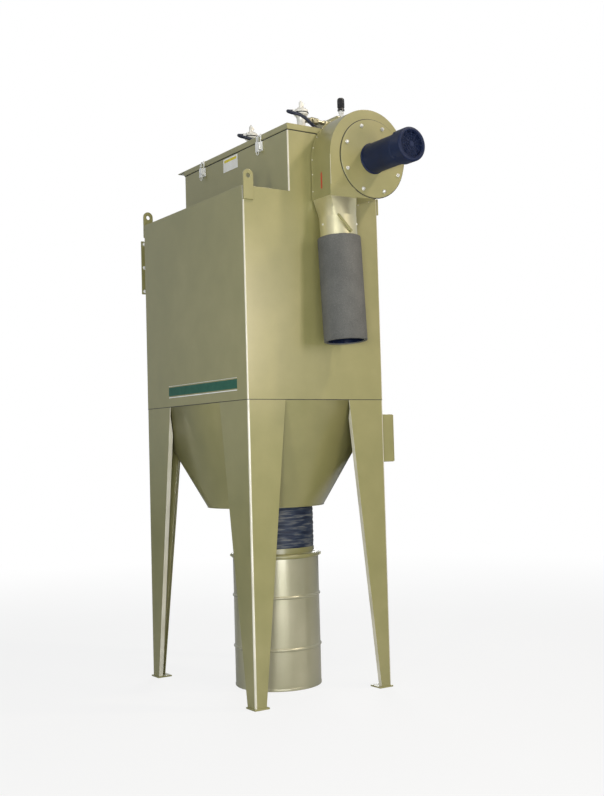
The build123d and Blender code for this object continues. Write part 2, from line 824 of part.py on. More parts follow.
pieces = {
    "front_wall": front_wall,
    "back_wall": back_wall,
    "left_wall": left_wall,
    "right_wall": right_wall,
    "plenum_side_wall": plenum_side_wall,
    "shoulder_roof": shoulder_roof,
    "lid_gasket": lid_gasket,
    "lid": lid,
    "foot_plates": foot_plates,
    "hopper": hopper,
    "hopper_outlet": hopper_outlet,
    "discharge_hose": discharge_hose,
    "drum_body": drum_body,
    "drum_bottom": drum_bottom,
    "drum_lid": drum_lid,
    "drum_clamp_ring": drum_clamp_ring,
    "lifting_lugs": lifting_lugs,
    "inlet_flange": inlet_flange,
    "control_box": control_box,
    "control_box_door": control_box_door,
    "fan_mount": fan_mount,
    "fan_housing": fan_housing,
    "fan_cover": fan_cover,
    "motor_body": motor_body,
    "motor_cowl": motor_cowl,
    "outlet_transition": outlet_transition,
    "outlet_duct": outlet_duct,
    "silencer": silencer,
    "damper": damper,
    "air_header": air_header,
    "diaphragms": diaphragms,
    "feed_pipes": feed_pipes,
    "regulator": regulator,
    "toggle_latches": toggle_latches,
}
for name, piece in pieces.items():
    piece.part.label = name
    export_step(piece.part, f"parts/{name}.step")
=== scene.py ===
import json
import random
from math import asin, cos, hypot, pi, radians, sin

import bmesh
import bpy
from mathutils import Matrix, Vector

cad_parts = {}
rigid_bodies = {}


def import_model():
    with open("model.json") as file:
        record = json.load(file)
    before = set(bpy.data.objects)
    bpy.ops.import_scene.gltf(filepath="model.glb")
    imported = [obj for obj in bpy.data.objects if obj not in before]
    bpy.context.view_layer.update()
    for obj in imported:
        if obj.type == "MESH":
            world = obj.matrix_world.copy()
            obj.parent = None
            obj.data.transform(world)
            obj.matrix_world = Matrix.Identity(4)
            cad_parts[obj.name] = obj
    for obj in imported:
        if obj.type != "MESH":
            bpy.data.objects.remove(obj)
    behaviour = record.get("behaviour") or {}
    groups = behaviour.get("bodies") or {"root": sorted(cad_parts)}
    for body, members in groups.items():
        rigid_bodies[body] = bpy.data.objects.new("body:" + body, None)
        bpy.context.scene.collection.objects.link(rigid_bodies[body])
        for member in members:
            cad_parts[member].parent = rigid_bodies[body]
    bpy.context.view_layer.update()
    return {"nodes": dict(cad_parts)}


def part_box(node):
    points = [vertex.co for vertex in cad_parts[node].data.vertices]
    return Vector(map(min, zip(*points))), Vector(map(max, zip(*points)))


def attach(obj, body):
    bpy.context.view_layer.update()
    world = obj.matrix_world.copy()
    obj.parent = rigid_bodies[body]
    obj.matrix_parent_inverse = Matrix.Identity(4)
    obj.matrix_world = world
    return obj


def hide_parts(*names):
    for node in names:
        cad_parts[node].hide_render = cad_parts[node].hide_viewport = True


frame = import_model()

# Camera: it stands off the corner between the blower face and the long side, at eye level,
# and looks slightly upwards. Its place comes from the corners of the cabinet in the photo.
camera_place = Vector((-3.9706, -6.3443, 1.5569))
camera_yaw = 0.5969
camera_pitch = 0.0470
camera_roll = -0.0274


def add_to_scene(thing):
    bpy.context.scene.collection.objects.link(thing)


camera = bpy.data.objects.new("camera", bpy.data.cameras.new("camera"))
add_to_scene(camera)
turn_yaw = Matrix.Rotation(-camera_yaw, 4, "Z")
turn_pitch = Matrix.Rotation(pi / 2 + camera_pitch, 4, "X")
turn_roll = Matrix.Rotation(camera_roll, 4, "Z")
camera.matrix_world = Matrix.Translation(camera_place) @ turn_yaw @ turn_pitch @ turn_roll
photo_high_px = 796
focal_px = 1093.97
camera.data.sensor_width = 36
camera.data.lens = camera.data.sensor_width * focal_px / photo_high_px
bpy.context.scene.camera = camera
bpy.context.scene.view_settings.view_transform = "Standard"


# Studio: a lamp beside the camera, soft ones above, low in front, at the right and behind, a
# white surround and a pale floor.
def soft_lamp(name, place, target, width, height, power, colour=(1, 1, 1)):
    lamp = bpy.data.objects.new(name, bpy.data.lights.new(name, "AREA"))
    lamp.data.shape = "RECTANGLE"
    lamp.data.size = width
    lamp.data.size_y = height
    lamp.data.energy = power
    lamp.data.color = colour
    lamp.location = place
    lamp.rotation_euler = (Vector(target) - Vector(place)).to_track_quat("-Z", "Y").to_euler()
    add_to_scene(lamp)


warm = (1.0, 0.86, 0.70)
soft_lamp("key_lamp", (-3.9, -5.6, 2.1), (0, -0.5, 2.2), 0.6, 0.6, 132, (0.98, 1.0, 0.97))
soft_lamp("top_lamp", (-0.4, -2.4, 6.6), (0, -0.5, 2.5), 1.6, 1.6, 40, warm)
soft_lamp("top_left_lamp", (-3.6, -0.5, 6.0), (-0.3, 0, 2.5), 1.4, 1.4, 16, warm)
soft_lamp("low_front_lamp", (-1.5, -5.1, 0.7), (-0.2, -0.6, 0.9), 2.0, 0.8, 54)
soft_lamp("low_left_lamp", (-4.6, -1.5, 0.7), (-0.5, -0.4, 1.0), 0.8, 0.8, 9)
soft_lamp("right_high_lamp", (3.08, -3.5, 6.8), (0.1, -0.7, 2.8), 0.5, 0.5, 140, warm)
soft_lamp("right_near_lamp", (0.9, -3.6, 2.7), (-0.3, -0.7, 2.5), 0.5, 1.2, 27, warm)
soft_lamp("shoulder_lamp", (-2.0, 3.2, 5.9), (0, -0.6, 3.2), 0.9, 0.9, 12)
soft_lamp("left_lamp", (-5.1, -4.3, 2.6), (0, -0.7, 2.4), 0.3, 2.0, 76)
soft_lamp("back_lamp", (4.2, 5.6, 4.2), (0, 0, 2.0), 3.0, 3.0, 240)


class Wire:
    """One output of a shader node: sums written with it add their Math nodes."""

    def __init__(self, finish, socket):
        self.finish = finish
        self.socket = socket

    def math(self, operation, *values):
        return self.finish.node("Math", {"operation": operation}, dict(enumerate(values)))

    def __add__(self, other):
        return self.math("ADD", self, other)

    def __sub__(self, other):
        return self.math("SUBTRACT", self, other)

    def __rsub__(self, other):
        return self.math("SUBTRACT", other, self)

    def __mul__(self, other):
        return self.math("MULTIPLY", self, other)

    __radd__ = __add__
    __rmul__ = __mul__


class Finish:
    """A material whose nodes are added one call at a time."""

    def __init__(self, name, tree=None):
        if tree is None:
            self.material = bpy.data.materials.new(name)
            self.material.use_nodes = True
            tree = self.material.node_tree
        self.tree = tree

    def node(self, kind, settings=None, inputs=None, output=0):
        made = self.tree.nodes.new("ShaderNode" + kind)
        for key, value in (settings or {}).items():
            if key == "stops":
                self.set_stops(made.color_ramp, value)
            else:
                setattr(made, key, value)
        for key, value in (inputs or {}).items():
            self.feed(made.inputs[key], value)
        return Wire(self, made.outputs[output])

    def feed(self, socket, value):
        if isinstance(value, Wire):
            self.tree.links.new(value.socket, socket)
        else:
            socket.default_value = value

    def set_stops(self, ramp, stops):
        ramp.elements[0].position = stops[0][0]
        ramp.elements[1].position = stops[-1][0]
        for place, _ in stops[1:-1]:
            ramp.elements.new(place)
        for element, (_, colour) in zip(ramp.elements, stops):
            element.color = (*colour, 1)

    def set(self, **values):
        """Sets or links sockets of the material's own Principled shader."""
        shader = self.tree.nodes["Principled BSDF"]
        for key, value in values.items():
            self.feed(shader.inputs[key.replace("_", " ")], value)

    def place(self, stretch=(1, 1, 1)):
        where = self.node("TexCoord", output="Object")
        return self.node("Mapping", None, {"Vector": where, "Scale": stretch})

    def noise(self, scale, detail=2.0, stretch=(1, 1, 1)):
        return self.node("TexNoise", None, {"Vector": self.place(stretch), "Scale": scale, "Detail": detail})

    def ramp(self, value, *stops):
        return self.node("ValToRGB", {"stops": stops}, {0: value})

    def mask(self, value, low, high):
        """0 below low and 1 above high, smooth between them."""
        limits = {"Value": value, "From Min": low, "From Max": high}
        return self.node("MapRange", {"interpolation_type": "SMOOTHSTEP"}, limits)

    def bump(self, height, depth, strength=1.0):
        return self.node("Bump", None, {"Height": height, "Distance": depth, "Strength": strength})


surround = bpy.data.worlds.new("white_surround")
surround.use_nodes = True
bpy.context.scene.world = surround
sky = Finish("surround", surround.node_tree)
path = sky.node("LightPath", output="Is Camera Ray")
glossy = sky.node("LightPath", output="Is Glossy Ray")
through = sky.node("LightPath", output="Is Transmission Ray")
seen = path.math("MAXIMUM", path, path.math("MAXIMUM", glossy * 0.42, through))
room_light = sky.node("Background", None, {"Color": (0.62, 0.86, 1.0, 1), "Strength": 0.11})
white = sky.node("Background", None, {"Color": (1, 1, 1, 1), "Strength": 1.0})
shown = sky.node("MixShader", None, {0: seen, 1: room_light, 2: white})
sky.feed(surround.node_tree.nodes["World Output"].inputs["Surface"], shown)

bpy.ops.mesh.primitive_plane_add(size=60)
floor = bpy.context.active_object
floor.name = "floor"
floor_paint = Finish("pale_floor")
floor_tone = floor_paint.noise(0.7, 3)
floor_paint.set(
    Base_Color=floor_paint.ramp(floor_tone, (0.3, (0.54, 0.54, 0.54)), (0.7, (0.58, 0.58, 0.58))),
    Roughness=0.9,
)
floor_glow = floor_paint.node("Emission", None, {"Strength": 1.0})
floor_seen = floor_paint.node("LightPath", output="Is Camera Ray")
far_off = floor_paint.node("VectorMath", {"operation": "LENGTH"}, {0: floor_paint.place()}, output=1)
floor_share = floor_seen * (0.84 + floor_paint.mask(far_off, 2.5, 9.0) * 0.16)
floor_base = Wire(floor_paint, floor_paint.tree.nodes["Principled BSDF"].outputs[0])
floor_mix = floor_paint.node("MixShader", None, {0: floor_share, 1: floor_base, 2: floor_glow})
floor_paint.feed(floor_paint.tree.nodes["Material Output"].inputs["Surface"], floor_mix)
floor.data.materials.append(floor_paint.material)

# Foot plates: four 10 mm steel squares with an anchor hole each, sheared and painted with
# the legs. Their edges are softened a little, as a deburred plate has them.
khaki = Finish("khaki_enamel")
broad = khaki.noise(0.9, 3)
middle = khaki.noise(7, 4)
fine = khaki.noise(420, 2)
peel = khaki.noise(140, 3)
tone = broad * 0.5 + middle * 0.4 + fine * 0.1
khaki.set(
    Base_Color=khaki.ramp(
        tone, (0.36, (0.258, 0.246, 0.094)), (0.5, (0.286, 0.268, 0.107)), (0.64, (0.318, 0.293, 0.126))
    ),
    Roughness=0.34 + middle * 0.10 + peel * 0.06,
    Specular_IOR_Level=0.75,
    Coat_Weight=0.8,
    Coat_Roughness=0.24,
    Normal=khaki.bump(peel * 0.7 + fine * 0.3, 0.0005, 0.28),
)


def open_piece(piece):
    """Goes into edit mode on one piece, with nothing of it selected."""
    bpy.ops.object.select_all(action="DESELECT")
    piece.select_set(True)
    bpy.context.view_layer.objects.active = piece
    bpy.ops.object.mode_set(mode="EDIT")
    bpy.ops.mesh.select_all(action="DESELECT")


def close_piece():
    bpy.ops.object.mode_set(mode="OBJECT")


def pick(piece, part, test):
    """Selects the faces, edges or corners that pass the test, and nothing else."""
    bpy.ops.mesh.select_mode(type=part)
    bpy.ops.mesh.select_all(action="DESELECT")
    shape = bmesh.from_edit_mesh(piece.data)
    items = {"FACE": shape.faces, "EDGE": shape.edges, "VERT": shape.verts}[part]
    for item in items:
        if test(item):
            item.select_set(True)
    bmesh.update_edit_mesh(piece.data)


def middle_of(edge):
    return (edge.verts[0].co + edge.verts[1].co) / 2


def runs_along(edge, axis):
    run = edge.verts[1].co - edge.verts[0].co
    return abs(run[axis]) > 0.999 * run.length


def copy_of(node, name):
    """A copy of a CAD piece, with its triangles merged into whole faces."""
    piece = bpy.data.objects.new(name, frame["nodes"][node].data.copy())
    add_to_scene(piece)
    open_piece(piece)
    bpy.ops.mesh.select_all(action="SELECT")
    bpy.ops.mesh.remove_doubles(threshold=0.00002)
    bpy.ops.mesh.dissolve_limited(angle_limit=radians(0.6))
    close_piece()
    return piece


def apply_to(piece, modifier):
    bpy.context.view_layer.objects.active = piece
    bpy.ops.object.modifier_apply(modifier=modifier.name)


def round_edges(piece, width, segments=2, sharper_than=32):
    bevel = piece.modifiers.new("rounding", "BEVEL")
    bevel.width = width
    bevel.segments = segments
    bevel.limit_method = "ANGLE"
    bevel.angle_limit = radians(sharper_than)
    apply_to(piece, bevel)


def fit(piece, finish, replaces=(), body="collector", smooth=34):
    """Shades, paints and mounts a piece that is finished in its place."""
    bpy.ops.object.select_all(action="DESELECT")
    piece.select_set(True)
    bpy.context.view_layer.objects.active = piece
    bpy.ops.object.shade_smooth_by_angle(angle=radians(smooth))
    even = piece.modifiers.new("even_normals", "WEIGHTED_NORMAL")
    even.keep_sharp = True
    apply_to(piece, even)
    piece.data.materials.clear()
    piece.data.materials.append(finish.material)
    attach(piece, body)
    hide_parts(*replaces)
    return piece


def dress(node, name, *rounding, finish=khaki, slot="khaki_paint", body="collector"):
    """Stands a copy with rounded edges in for a CAD piece."""
    piece = copy_of(node, name)
    round_edges(piece, *rounding)
    return fit(piece, finish, [node], body)


def toned(name, grain, stops, roughness, relief=None, **constants):
    """A finish whose colour and roughness follow one noise, with the scale and detail in grain.

    Roughness gives its least and its span. Relief gives a finer noise's scale and detail, and
    the depth and strength of its bump.
    """
    made = Finish(name)
    shade = made.noise(*grain)
    made.set(Base_Color=made.ramp(shade, *stops), Roughness=roughness[0] + shade * roughness[1])
    made.set(**constants)
    if relief:
        scale, detail, depth, strength = relief
        made.set(Normal=made.bump(made.noise(scale, detail), depth, strength))
    return made


# Painted highlight: a pale enamel for bends and folds, in place of the light that a rounded fold catches.
painted_fold_highlight = toned(
    "fold_highlight_enamel",
    (9, 4, (1, 1, 0.35)),
    ((0.35, (0.58, 0.55, 0.43)), (0.65, (0.74, 0.71, 0.60))),
    (0.30, 0.12),
    Specular_IOR_Level=0.9,
    Coat_Weight=0.8,
    Coat_Roughness=0.24,
)


def paint_fold_highlights(piece, is_fold_face):
    """Gives the faces that pass the test the pale enamel of the painted fold highlight."""
    piece.data.materials.append(painted_fold_highlight.material)
    for face in piece.data.polygons:
        if is_fold_face(face):
            face.material_index = 1


dress("foot_plates", "foot_plates_deburred", 0.0012)

# Legs: each is folded from 5 mm plate into a tapered angle with return lips, and its outer
# corner has the bend radius of the press. It stands on its foot plate with a weld.
leg_bend = 0.011


def is_highlit_fold(face):
    """The bend at the leg's outer corner, and the slanting return lips: the faces that get the painted
    highlight.
    """
    normal = face.normal
    bend = abs(normal.z) < 0.05 and 0.1 < abs(normal.x) < 0.995 and (face.center.xy - corner).length < 0.03
    return bend or -0.3 < normal.z < -0.05


for side in ("front_left", "front_right", "back_left", "back_right"):
    leg = copy_of("leg_" + side, "folded_leg_" + side)
    low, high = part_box("leg_" + side)
    corner = Vector((low.x if "left" in side else high.x, low.y if "front" in side else high.y))
    open_piece(leg)
    pick(leg, "EDGE", lambda edge: runs_along(edge, 2) and (middle_of(edge).xy - corner).length < 0.001)
    bpy.ops.mesh.bevel(offset=leg_bend, segments=6)
    close_piece()
    round_edges(leg, 0.0009, 2, 40)
    fit(leg, khaki, ["leg_" + side])
    # The bend and the lips get the pale enamel: a painted highlight.
    paint_fold_highlights(leg, is_highlit_fold)

# Cabinet: 5 mm sheet, folded round the corners and welded, with the plenum raised on the
# right-hand part of the roof and the inlet cut in the back.
cabinet_bend = 0.008
left, front, floor_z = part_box("front_wall")[0]
right, _, plenum_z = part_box("right_wall")[1]
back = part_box("back_wall")[1].y
roof_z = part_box("shoulder_roof")[1].z
step_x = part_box("plenum_side_wall")[0].x
wall = 0.005


def block(name, low, high):
    """A cube primitive between two corners, to be shaped further."""
    low = Vector(low)
    high = Vector(high)
    bpy.ops.mesh.primitive_cube_add(size=1, location=(low + high) / 2, scale=high - low)
    piece = bpy.context.active_object
    piece.name = name
    bpy.ops.object.transform_apply(location=True, rotation=True, scale=True)
    return piece


def pick_all():
    bpy.ops.mesh.select_all(action="SELECT")


def extrude(step):
    bpy.ops.mesh.extrude_region_move(TRANSFORM_OT_translate={"value": step})


def face_out(piece):
    """Turns every face of an open piece outwards and closes it."""
    pick_all()
    bpy.ops.mesh.normals_make_consistent(inside=False)
    close_piece()


def cut_across(place, normal):
    pick_all()
    bpy.ops.mesh.bisect(plane_co=place, plane_no=normal)


def thicken(piece, thickness):
    """Gives a sheet its thickness, inwards from its outer face."""
    sheet = piece.modifiers.new("sheet", "SOLIDIFY")
    sheet.thickness = thickness
    sheet.offset = -1
    apply_to(piece, sheet)


cabinet = block("cabinet_shell", (left, front, floor_z), (right, back, roof_z))
open_piece(cabinet)
cut_across((step_x, 0, 0), (1, 0, 0))
pick(cabinet, "FACE", lambda face: face.normal.z > 0.9 and face.calc_center_median().x > step_x)
extrude((0, 0, plenum_z - roof_z))
inlet_low, inlet_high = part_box("inlet_flange")
inlet_mid = (inlet_low + inlet_high) / 2
inlet_half = 0.15
for side in (-1, 1):
    cut_across((inlet_mid.x + side * inlet_half, 0, 0), (1, 0, 0))
    cut_across((0, 0, inlet_mid.z + side * inlet_half), (0, 0, 1))


def is_open(face):
    centre = face.calc_center_median()
    in_inlet = face.normal.y > 0.9 and hypot(centre.x - inlet_mid.x, centre.z - inlet_mid.z) < inlet_half / 2
    under = face.normal.z < -0.9
    over_plenum = face.normal.z > 0.9 and centre.z > plenum_z - 0.001
    return in_inlet or under or over_plenum


pick(cabinet, "FACE", is_open)
bpy.ops.mesh.delete(type="FACE")


def is_fold(edge):
    place = middle_of(edge)
    at_end = abs(abs(place.y) - back) < 0.001
    at_side = min(abs(place.x - left), abs(place.x - right)) < 0.001
    at_step = abs(place.x - step_x) < 0.001 and place.z > roof_z + 0.001
    return runs_along(edge, 2) and at_end and (at_side or at_step)


def is_eave(edge):
    place = middle_of(edge)
    at_edge = abs(abs(place.y) - back) < 0.001 or abs(place.x - left) < 0.001
    return abs(place.z - roof_z) < 0.001 and at_edge and not runs_along(edge, 2) and place.x < step_x


pick(cabinet, "EDGE", is_fold)
bpy.ops.mesh.bevel(offset=cabinet_bend, segments=5)
pick(cabinet, "EDGE", is_eave)
bpy.ops.mesh.bevel(offset=0.002, segments=2)
face_out(cabinet)
thicken(cabinet, wall)
round_edges(cabinet, 0.0018, 2, 60)
walls = ["front_wall", "back_wall", "left_wall", "right_wall", "plenum_side_wall", "shoulder_roof"]
fit(cabinet, khaki, walls)
# The cabinet's folds get the pale enamel: a painted highlight along each bend.
paint_fold_highlights(cabinet, lambda face: abs(face.normal.z) < 0.05 and 0.1 < abs(face.normal.x) < 0.995)

# Lifting lugs: 12 mm flame-cut plates with a round head and a hole for a shackle, each held
# by a weld bead down both sides and across its lower end.
def start_piece(name):
    """An empty mesh in edit mode: what is added next becomes part of it."""
    bpy.ops.object.select_all(action="DESELECT")
    piece = bpy.data.objects.new(name, bpy.data.meshes.new(name))
    add_to_scene(piece)
    open_piece(piece)
    return piece


def stand_at(point, axis, turn=0.0):
    """A placing that turns a piece's +Z to the axis and puts its origin at the point."""
    aim = Vector(axis).to_track_quat("Z", "Y").to_matrix().to_4x4()
    return Matrix.Translation(Vector(point)) @ aim @ Matrix.Rotation(turn, 4, "Z")


def copies(pattern, name, places):
    """Copies one modelled piece to each place, each copy with its own mesh, as one group."""
    made = []
    for place in places:
        twin = bpy.data.objects.new(name, pattern.data.copy())
        add_to_scene(twin)
        twin.data.transform(place)
        made.append(twin)
    bpy.data.objects.remove(pattern)
    bpy.ops.object.select_all(action="DESELECT")
    for twin in made:
        twin.select_set(True)
    bpy.context.view_layer.objects.active = made[0]
    if len(made) > 1:
        bpy.ops.object.join()
    return made[0]


def weld_bead(name, runs, width):
    """Overlapping scales of weld metal along straight runs, each given as start and end."""
    bead = start_piece(name + "_scale")
    bpy.ops.mesh.primitive_uv_sphere_add(segments=8, ring_count=5, radius=width)
    bpy.ops.transform.resize(value=(1.0, 0.75, 0.6))
    face_out(bead)
    places = []
    for start, end in runs:
        run = Vector(end) - Vector(start)
        count = max(2, round(run.length / (width * 0.75)))
        for step in range(count + 1):
            places.append(stand_at(Vector(start) + run * step / count, run, random.uniform(0, pi)))
    return copies(bead, name, places)


random.seed(11)
dress("lifting_lugs", "lifting_lugs_ground", 0.0018)
lug_half = 0.036
lug_weld_high = 0.078
lug_foot = roof_z - 0.086
lug_runs = []
for x, y, along in (
    (left + lug_half, front, (1, 0)),
    (left + lug_half, back, (1, 0)),
    (right - lug_half, back, (1, 0)),
    (right, front + lug_half, (0, 1)),
):
    side = Vector((along[0], along[1], 0)) * lug_half
    low = Vector((x, y, lug_foot))
    lug_runs.append((low - side, low + side))
    for foot in (low - side, low + side):
        if abs(foot.x - left) > 0.01 and abs(foot.x - right) > 0.01:
            lug_runs.append((foot, foot + Vector((0, 0, lug_weld_high))))
fit(weld_bead("lug_welds", lug_runs, 0.004), khaki)

# Plenum lid: a folded pan with turned-down edges that sits on a black rubber gasket. The
# latches hold it shut, and it carries the pulse valves and the air header.
dress("lid", "lid_pan", 0.0022, 3)
rubber = toned(
    "black_rubber",
    (60, 4),
    ((0.3, (0.010, 0.011, 0.014)), (0.7, (0.026, 0.027, 0.031))),
    (0.45, 0.2),
    (500, 2, 0.0003, 0.3),
)
dress("lid_gasket", "lid_gasket_strip", 0.0015, finish=rubber, slot="gasket_rubber")

# Toggle latches: zinc-plated over-centre catches on the plenum's side. A wire bail hooks
# over a catch plate that is welded to the lid's edge, and a ring hangs from the lever.
zinc = toned(
    "zinc_plate",
    (45, 4),
    ((0.3, (0.84, 0.85, 0.85)), (0.7, (0.95, 0.95, 0.93))),
    (0.22, 0.22),
    (300, 2, 0.0003, 0.2),
    Metallic=0.2,
)


up = (0, 0, 1)
to_front = (0, -1, 0)
to_left = (-1, 0, 0)


def bar(low, high):
    """A rectangular bar between two corners, in the piece that is open."""
    low = Vector(low)
    high = Vector(high)
    bpy.ops.mesh.primitive_cube_add(size=1, location=(low + high) / 2, scale=high - low)


def rod(base, axis, radius, length, sides=24, end_radius=None):
    """A round bar, or a cone if an end radius is given, in the piece that is open."""
    aim = Vector(axis).to_track_quat("Z", "Y")
    bpy.ops.mesh.primitive_cone_add(
        vertices=sides,
        radius1=radius,
        radius2=radius if end_radius is None else end_radius,
        depth=length,
        location=Vector(base) + aim @ Vector((0, 0, length / 2)),
        rotation=aim.to_euler(),
    )


def ring(centre, axis, radius, wire, sides=32, wire_sides=8):
    aim = Vector(axis).to_track_quat("Z", "Y")
    bpy.ops.mesh.primitive_torus_add(
        location=centre,
        rotation=aim.to_euler(),
        major_radius=radius,
        minor_radius=wire,
        major_segments=sides,
        minor_segments=wire_sides,
    )


def complete(piece, rounding, finish, replaces=(), body="collector"):
    """Closes an open piece, rounds its edges by a width, segments and angle, and fits it."""
    face_out(piece)
    round_edges(piece, *rounding)
    return fit(piece, finish, replaces, body)


small_rounding = (0.0008, 2, 50)
latch_low, latch_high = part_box("toggle_latches")
lid_low, lid_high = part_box("lid")
latches = start_piece("latch_bodies")
latches_at = (latch_low.y + 0.030, latch_high.y - 0.030)
foot = latch_low.z + 0.026
base_x = step_x - 0.003
bail_x = step_x - 0.013
bail_half = 0.0275
bail_wire = 0.003
lever_half = 0.0175
for y in latches_at:
    bar((base_x, y - 0.029, foot), (step_x, y + 0.029, foot + 0.062))
    for side in (-1, 1):
        cheek = y + side * 0.0195
        bar((step_x - 0.024, cheek - 0.0015, foot + 0.010), (base_x, cheek + 0.0015, foot + 0.058))
        rod((bail_x, y + side * 0.0245, foot + 0.020), up, bail_wire, 0.078, 10)
        for rise in (0.008, 0.054):
            rod((base_x, y + side * 0.0245, foot + rise), to_left, 0.0036, 0.0024, 12, 0.002)
    for rise, radius, sides in ((0.098, bail_wire, 10), (0.020, 0.0042, 12)):
        rod((bail_x, y - bail_half, foot + rise), (0, 1, 0), radius, 2 * bail_half, sides)
    bar((step_x - 0.028, y - lever_half, foot + 0.002), (step_x - 0.0245, y + lever_half, foot + 0.060))
    bar((step_x - 0.0285, y - lever_half, foot - 0.006), (step_x - 0.0200, y + lever_half, foot + 0.003))
    ring((step_x - 0.022, y, foot - 0.015), (1, 0.25, 0), 0.011, 0.0022, 20, 6)
complete(latches, small_rounding, zinc, ["toggle_latches"])
catches = start_piece("lid_catches")
top = lid_high.z - lid_low.z
for y in latches_at:
    for side in (-1, 1):
        low = Vector((lid_low.x, y + side * 0.017 - 0.006, lid_low.z))
        bar(low + Vector((-0.004, 0, 0.006)), low + Vector((0, 0.012, top + 0.004)))
        bar(low + Vector((-0.004, 0, top)), low + Vector((0.020, 0.012, top + 0.004)))
        bar(low + Vector((-0.013, 0, 0.023)), low + Vector((-0.004, 0.012, 0.027)))
complete(catches, small_rounding, zinc)

# Sign plates: a bare cream plate with a plain yellow band, riveted below the lid, a plain
# green band between cream lines on the long side, and a plain red mark on the blower.
def vinyl(name, colour):
    faded = tuple(min(1.0, share * 1.15 + 0.015) for share in colour)
    return toned(name, (30, 4), ((0.35, colour), (0.7, faded)), (0.4, 0.15), (90, 2, 0.0002, 0.3))


cream = vinyl("cream_print", (0.92, 0.91, 0.87))
yellow = vinyl("yellow_print", (0.74, 0.61, 0.03))
green = vinyl("green_print", (0.004, 0.090, 0.055))
red = vinyl("red_print", (0.48, 0.045, 0.025))
film = 0.0004
film_rounding = (0.0001,)
plate_low = Vector((step_x - 0.0012, -0.070, 3.477))
plate_high = Vector((step_x, 0.121, 3.569))
cream_plate = start_piece("cream_plate")
bar(plate_low, plate_high)
complete(cream_plate, (0.0005,), cream)
yellow_band = start_piece("yellow_band")
band_low = Vector((plate_low.x - film, plate_low.y + 0.014, plate_high.z - 0.028))
bar(band_low, (plate_low.x, plate_high.y - 0.014, plate_high.z - 0.010))
complete(yellow_band, film_rounding, yellow)
plate_rivets = start_piece("plate_rivets")
rivet_inset = 0.006
for y in (plate_low.y + rivet_inset, plate_high.y - rivet_inset):
    for z in (plate_low.z + rivet_inset, plate_high.z - rivet_inset):
        rod((plate_low.x, y, z), to_left, 0.0026, 0.0014, 12, 0.0016)
face_out(plate_rivets)
fit(plate_rivets, zinc)
sign_front = -0.560
sign_back = 0.350
for name, paint, stripes in (
    ("green_band", green, [(1.944, 2.002)]),
    ("cream_line", cream, [(1.931, 1.9365), (2.0095, 2.0115)]),
):
    sign = start_piece(name)
    for sign_low, sign_high in stripes:
        bar((left - film, sign_front, sign_low), (left, sign_back, sign_high))
    complete(sign, film_rounding, paint)
red_mark = start_piece("red_mark")
bar((-film, -0.794, 3.197), (0.0, -0.780, 3.290))
pick(red_mark, "FACE", lambda face: face.normal.z > 0.9)
extrude((0, 0, 0.016))
bpy.ops.transform.resize(value=(1, 0.05, 1))
face_out(red_mark)
fit(red_mark, red)

# Hopper: 5 mm sheet, folded in at the cabinet's foot. Its four flat sides turn into cones
# at the corners, towards an outlet ring with the spigot that the hose is drawn over. A bead
# of sealant closes the seam.
hopper = copy_of("hopper", "hopper_folded")
open_piece(hopper)
rim_fold = 1.815
seam_half = 0.002
pick(hopper, "VERT", lambda corner: abs(corner.co.z - rim_fold) < 0.001)
bpy.ops.transform.translate(value=(0, 0, floor_z - seam_half - rim_fold))
close_piece()
round_edges(hopper, 0.003, 3, 20)
fit(hopper, khaki, ["hopper"], smooth=18)
proud = 0.0006
sealant_low = (left - proud, front - proud, floor_z - seam_half)
sealant = block("seam_sealant", sealant_low, (right + proud, back + proud, floor_z + seam_half))
open_piece(sealant)
pick(sealant, "FACE", lambda face: abs(face.normal.z) > 0.9)
bpy.ops.mesh.delete(type="FACE")
pick(sealant, "EDGE", lambda edge: runs_along(edge, 2))
bpy.ops.mesh.bevel(offset=0.0095, segments=5)
close_piece()
thicken(sealant, 0.003)
fit(sealant, rubber)
dress("hopper_outlet", "hopper_outlet_ring", 0.0015)


# Dust hose: coated cloth over a spiral wire, drawn over the hopper's spigot above and the
# drum lid's collar below. It is squashed a little, so its ribs sag and the cloth creases.
def turned(base, axis, profile, sides):
    """A lathe form in the open piece: profile holds radius and height, along the axis."""
    aim = Vector(axis).to_track_quat("Z", "Y")
    points = [Vector(base) + aim @ Vector((radius, 0, height)) for radius, height in profile]
    bpy.ops.mesh.select_mode(type="VERT")
    bpy.ops.mesh.primitive_plane_add(size=0.001, location=points[0])
    bpy.ops.mesh.merge(type="CENTER")
    for before, after in zip(points, points[1:]):
        extrude(after - before)
    bpy.ops.mesh.select_linked()
    bpy.ops.mesh.spin(steps=sides, angle=2 * pi, center=base, axis=aim @ Vector((0, 0, 1)))
    bpy.ops.mesh.select_linked()
    bpy.ops.mesh.remove_doubles(threshold=0.00001)


hose_cloth = Finish("hose_cloth")
hose_mottle_and_sheen = hose_cloth.noise(8, 6, (1, 1, 8))
hose_weave = hose_cloth.noise(600, 2)
# The grey end of the cloth's ramp is partly the cloth's own mottle and partly painted sheen on its ribs and
# creases.
hose_cloth.set(
    Base_Color=hose_cloth.ramp(
        hose_mottle_and_sheen, (0.38, (0.004, 0.011, 0.036)), (0.52, (0.022, 0.036, 0.072)), (0.66, (0.150, 0.158, 0.165))
    ),
    Roughness=0.42 + hose_weave * 0.25,
    Normal=hose_cloth.bump(hose_mottle_and_sheen * 0.9 + hose_weave * 0.1, 0.004, 0.6),
)
hose_low, hose_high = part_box("discharge_hose")
drum_x = (hose_low.x + hose_high.x) / 2
drum_y = (hose_low.y + hose_high.y) / 2
hose_r = (hose_high.x - hose_low.x) / 2
hose_turns = 9
hose = start_piece("dust_hose")
hose_wall = 0.0038
profile = []
steps = hose_turns * 8
hose_long = hose_high.z - hose_low.z - 0.002
for step in range(steps + 1):
    profile.append((hose_r - hose_wall, hose_low.z + 0.001 + hose_long * step / steps))
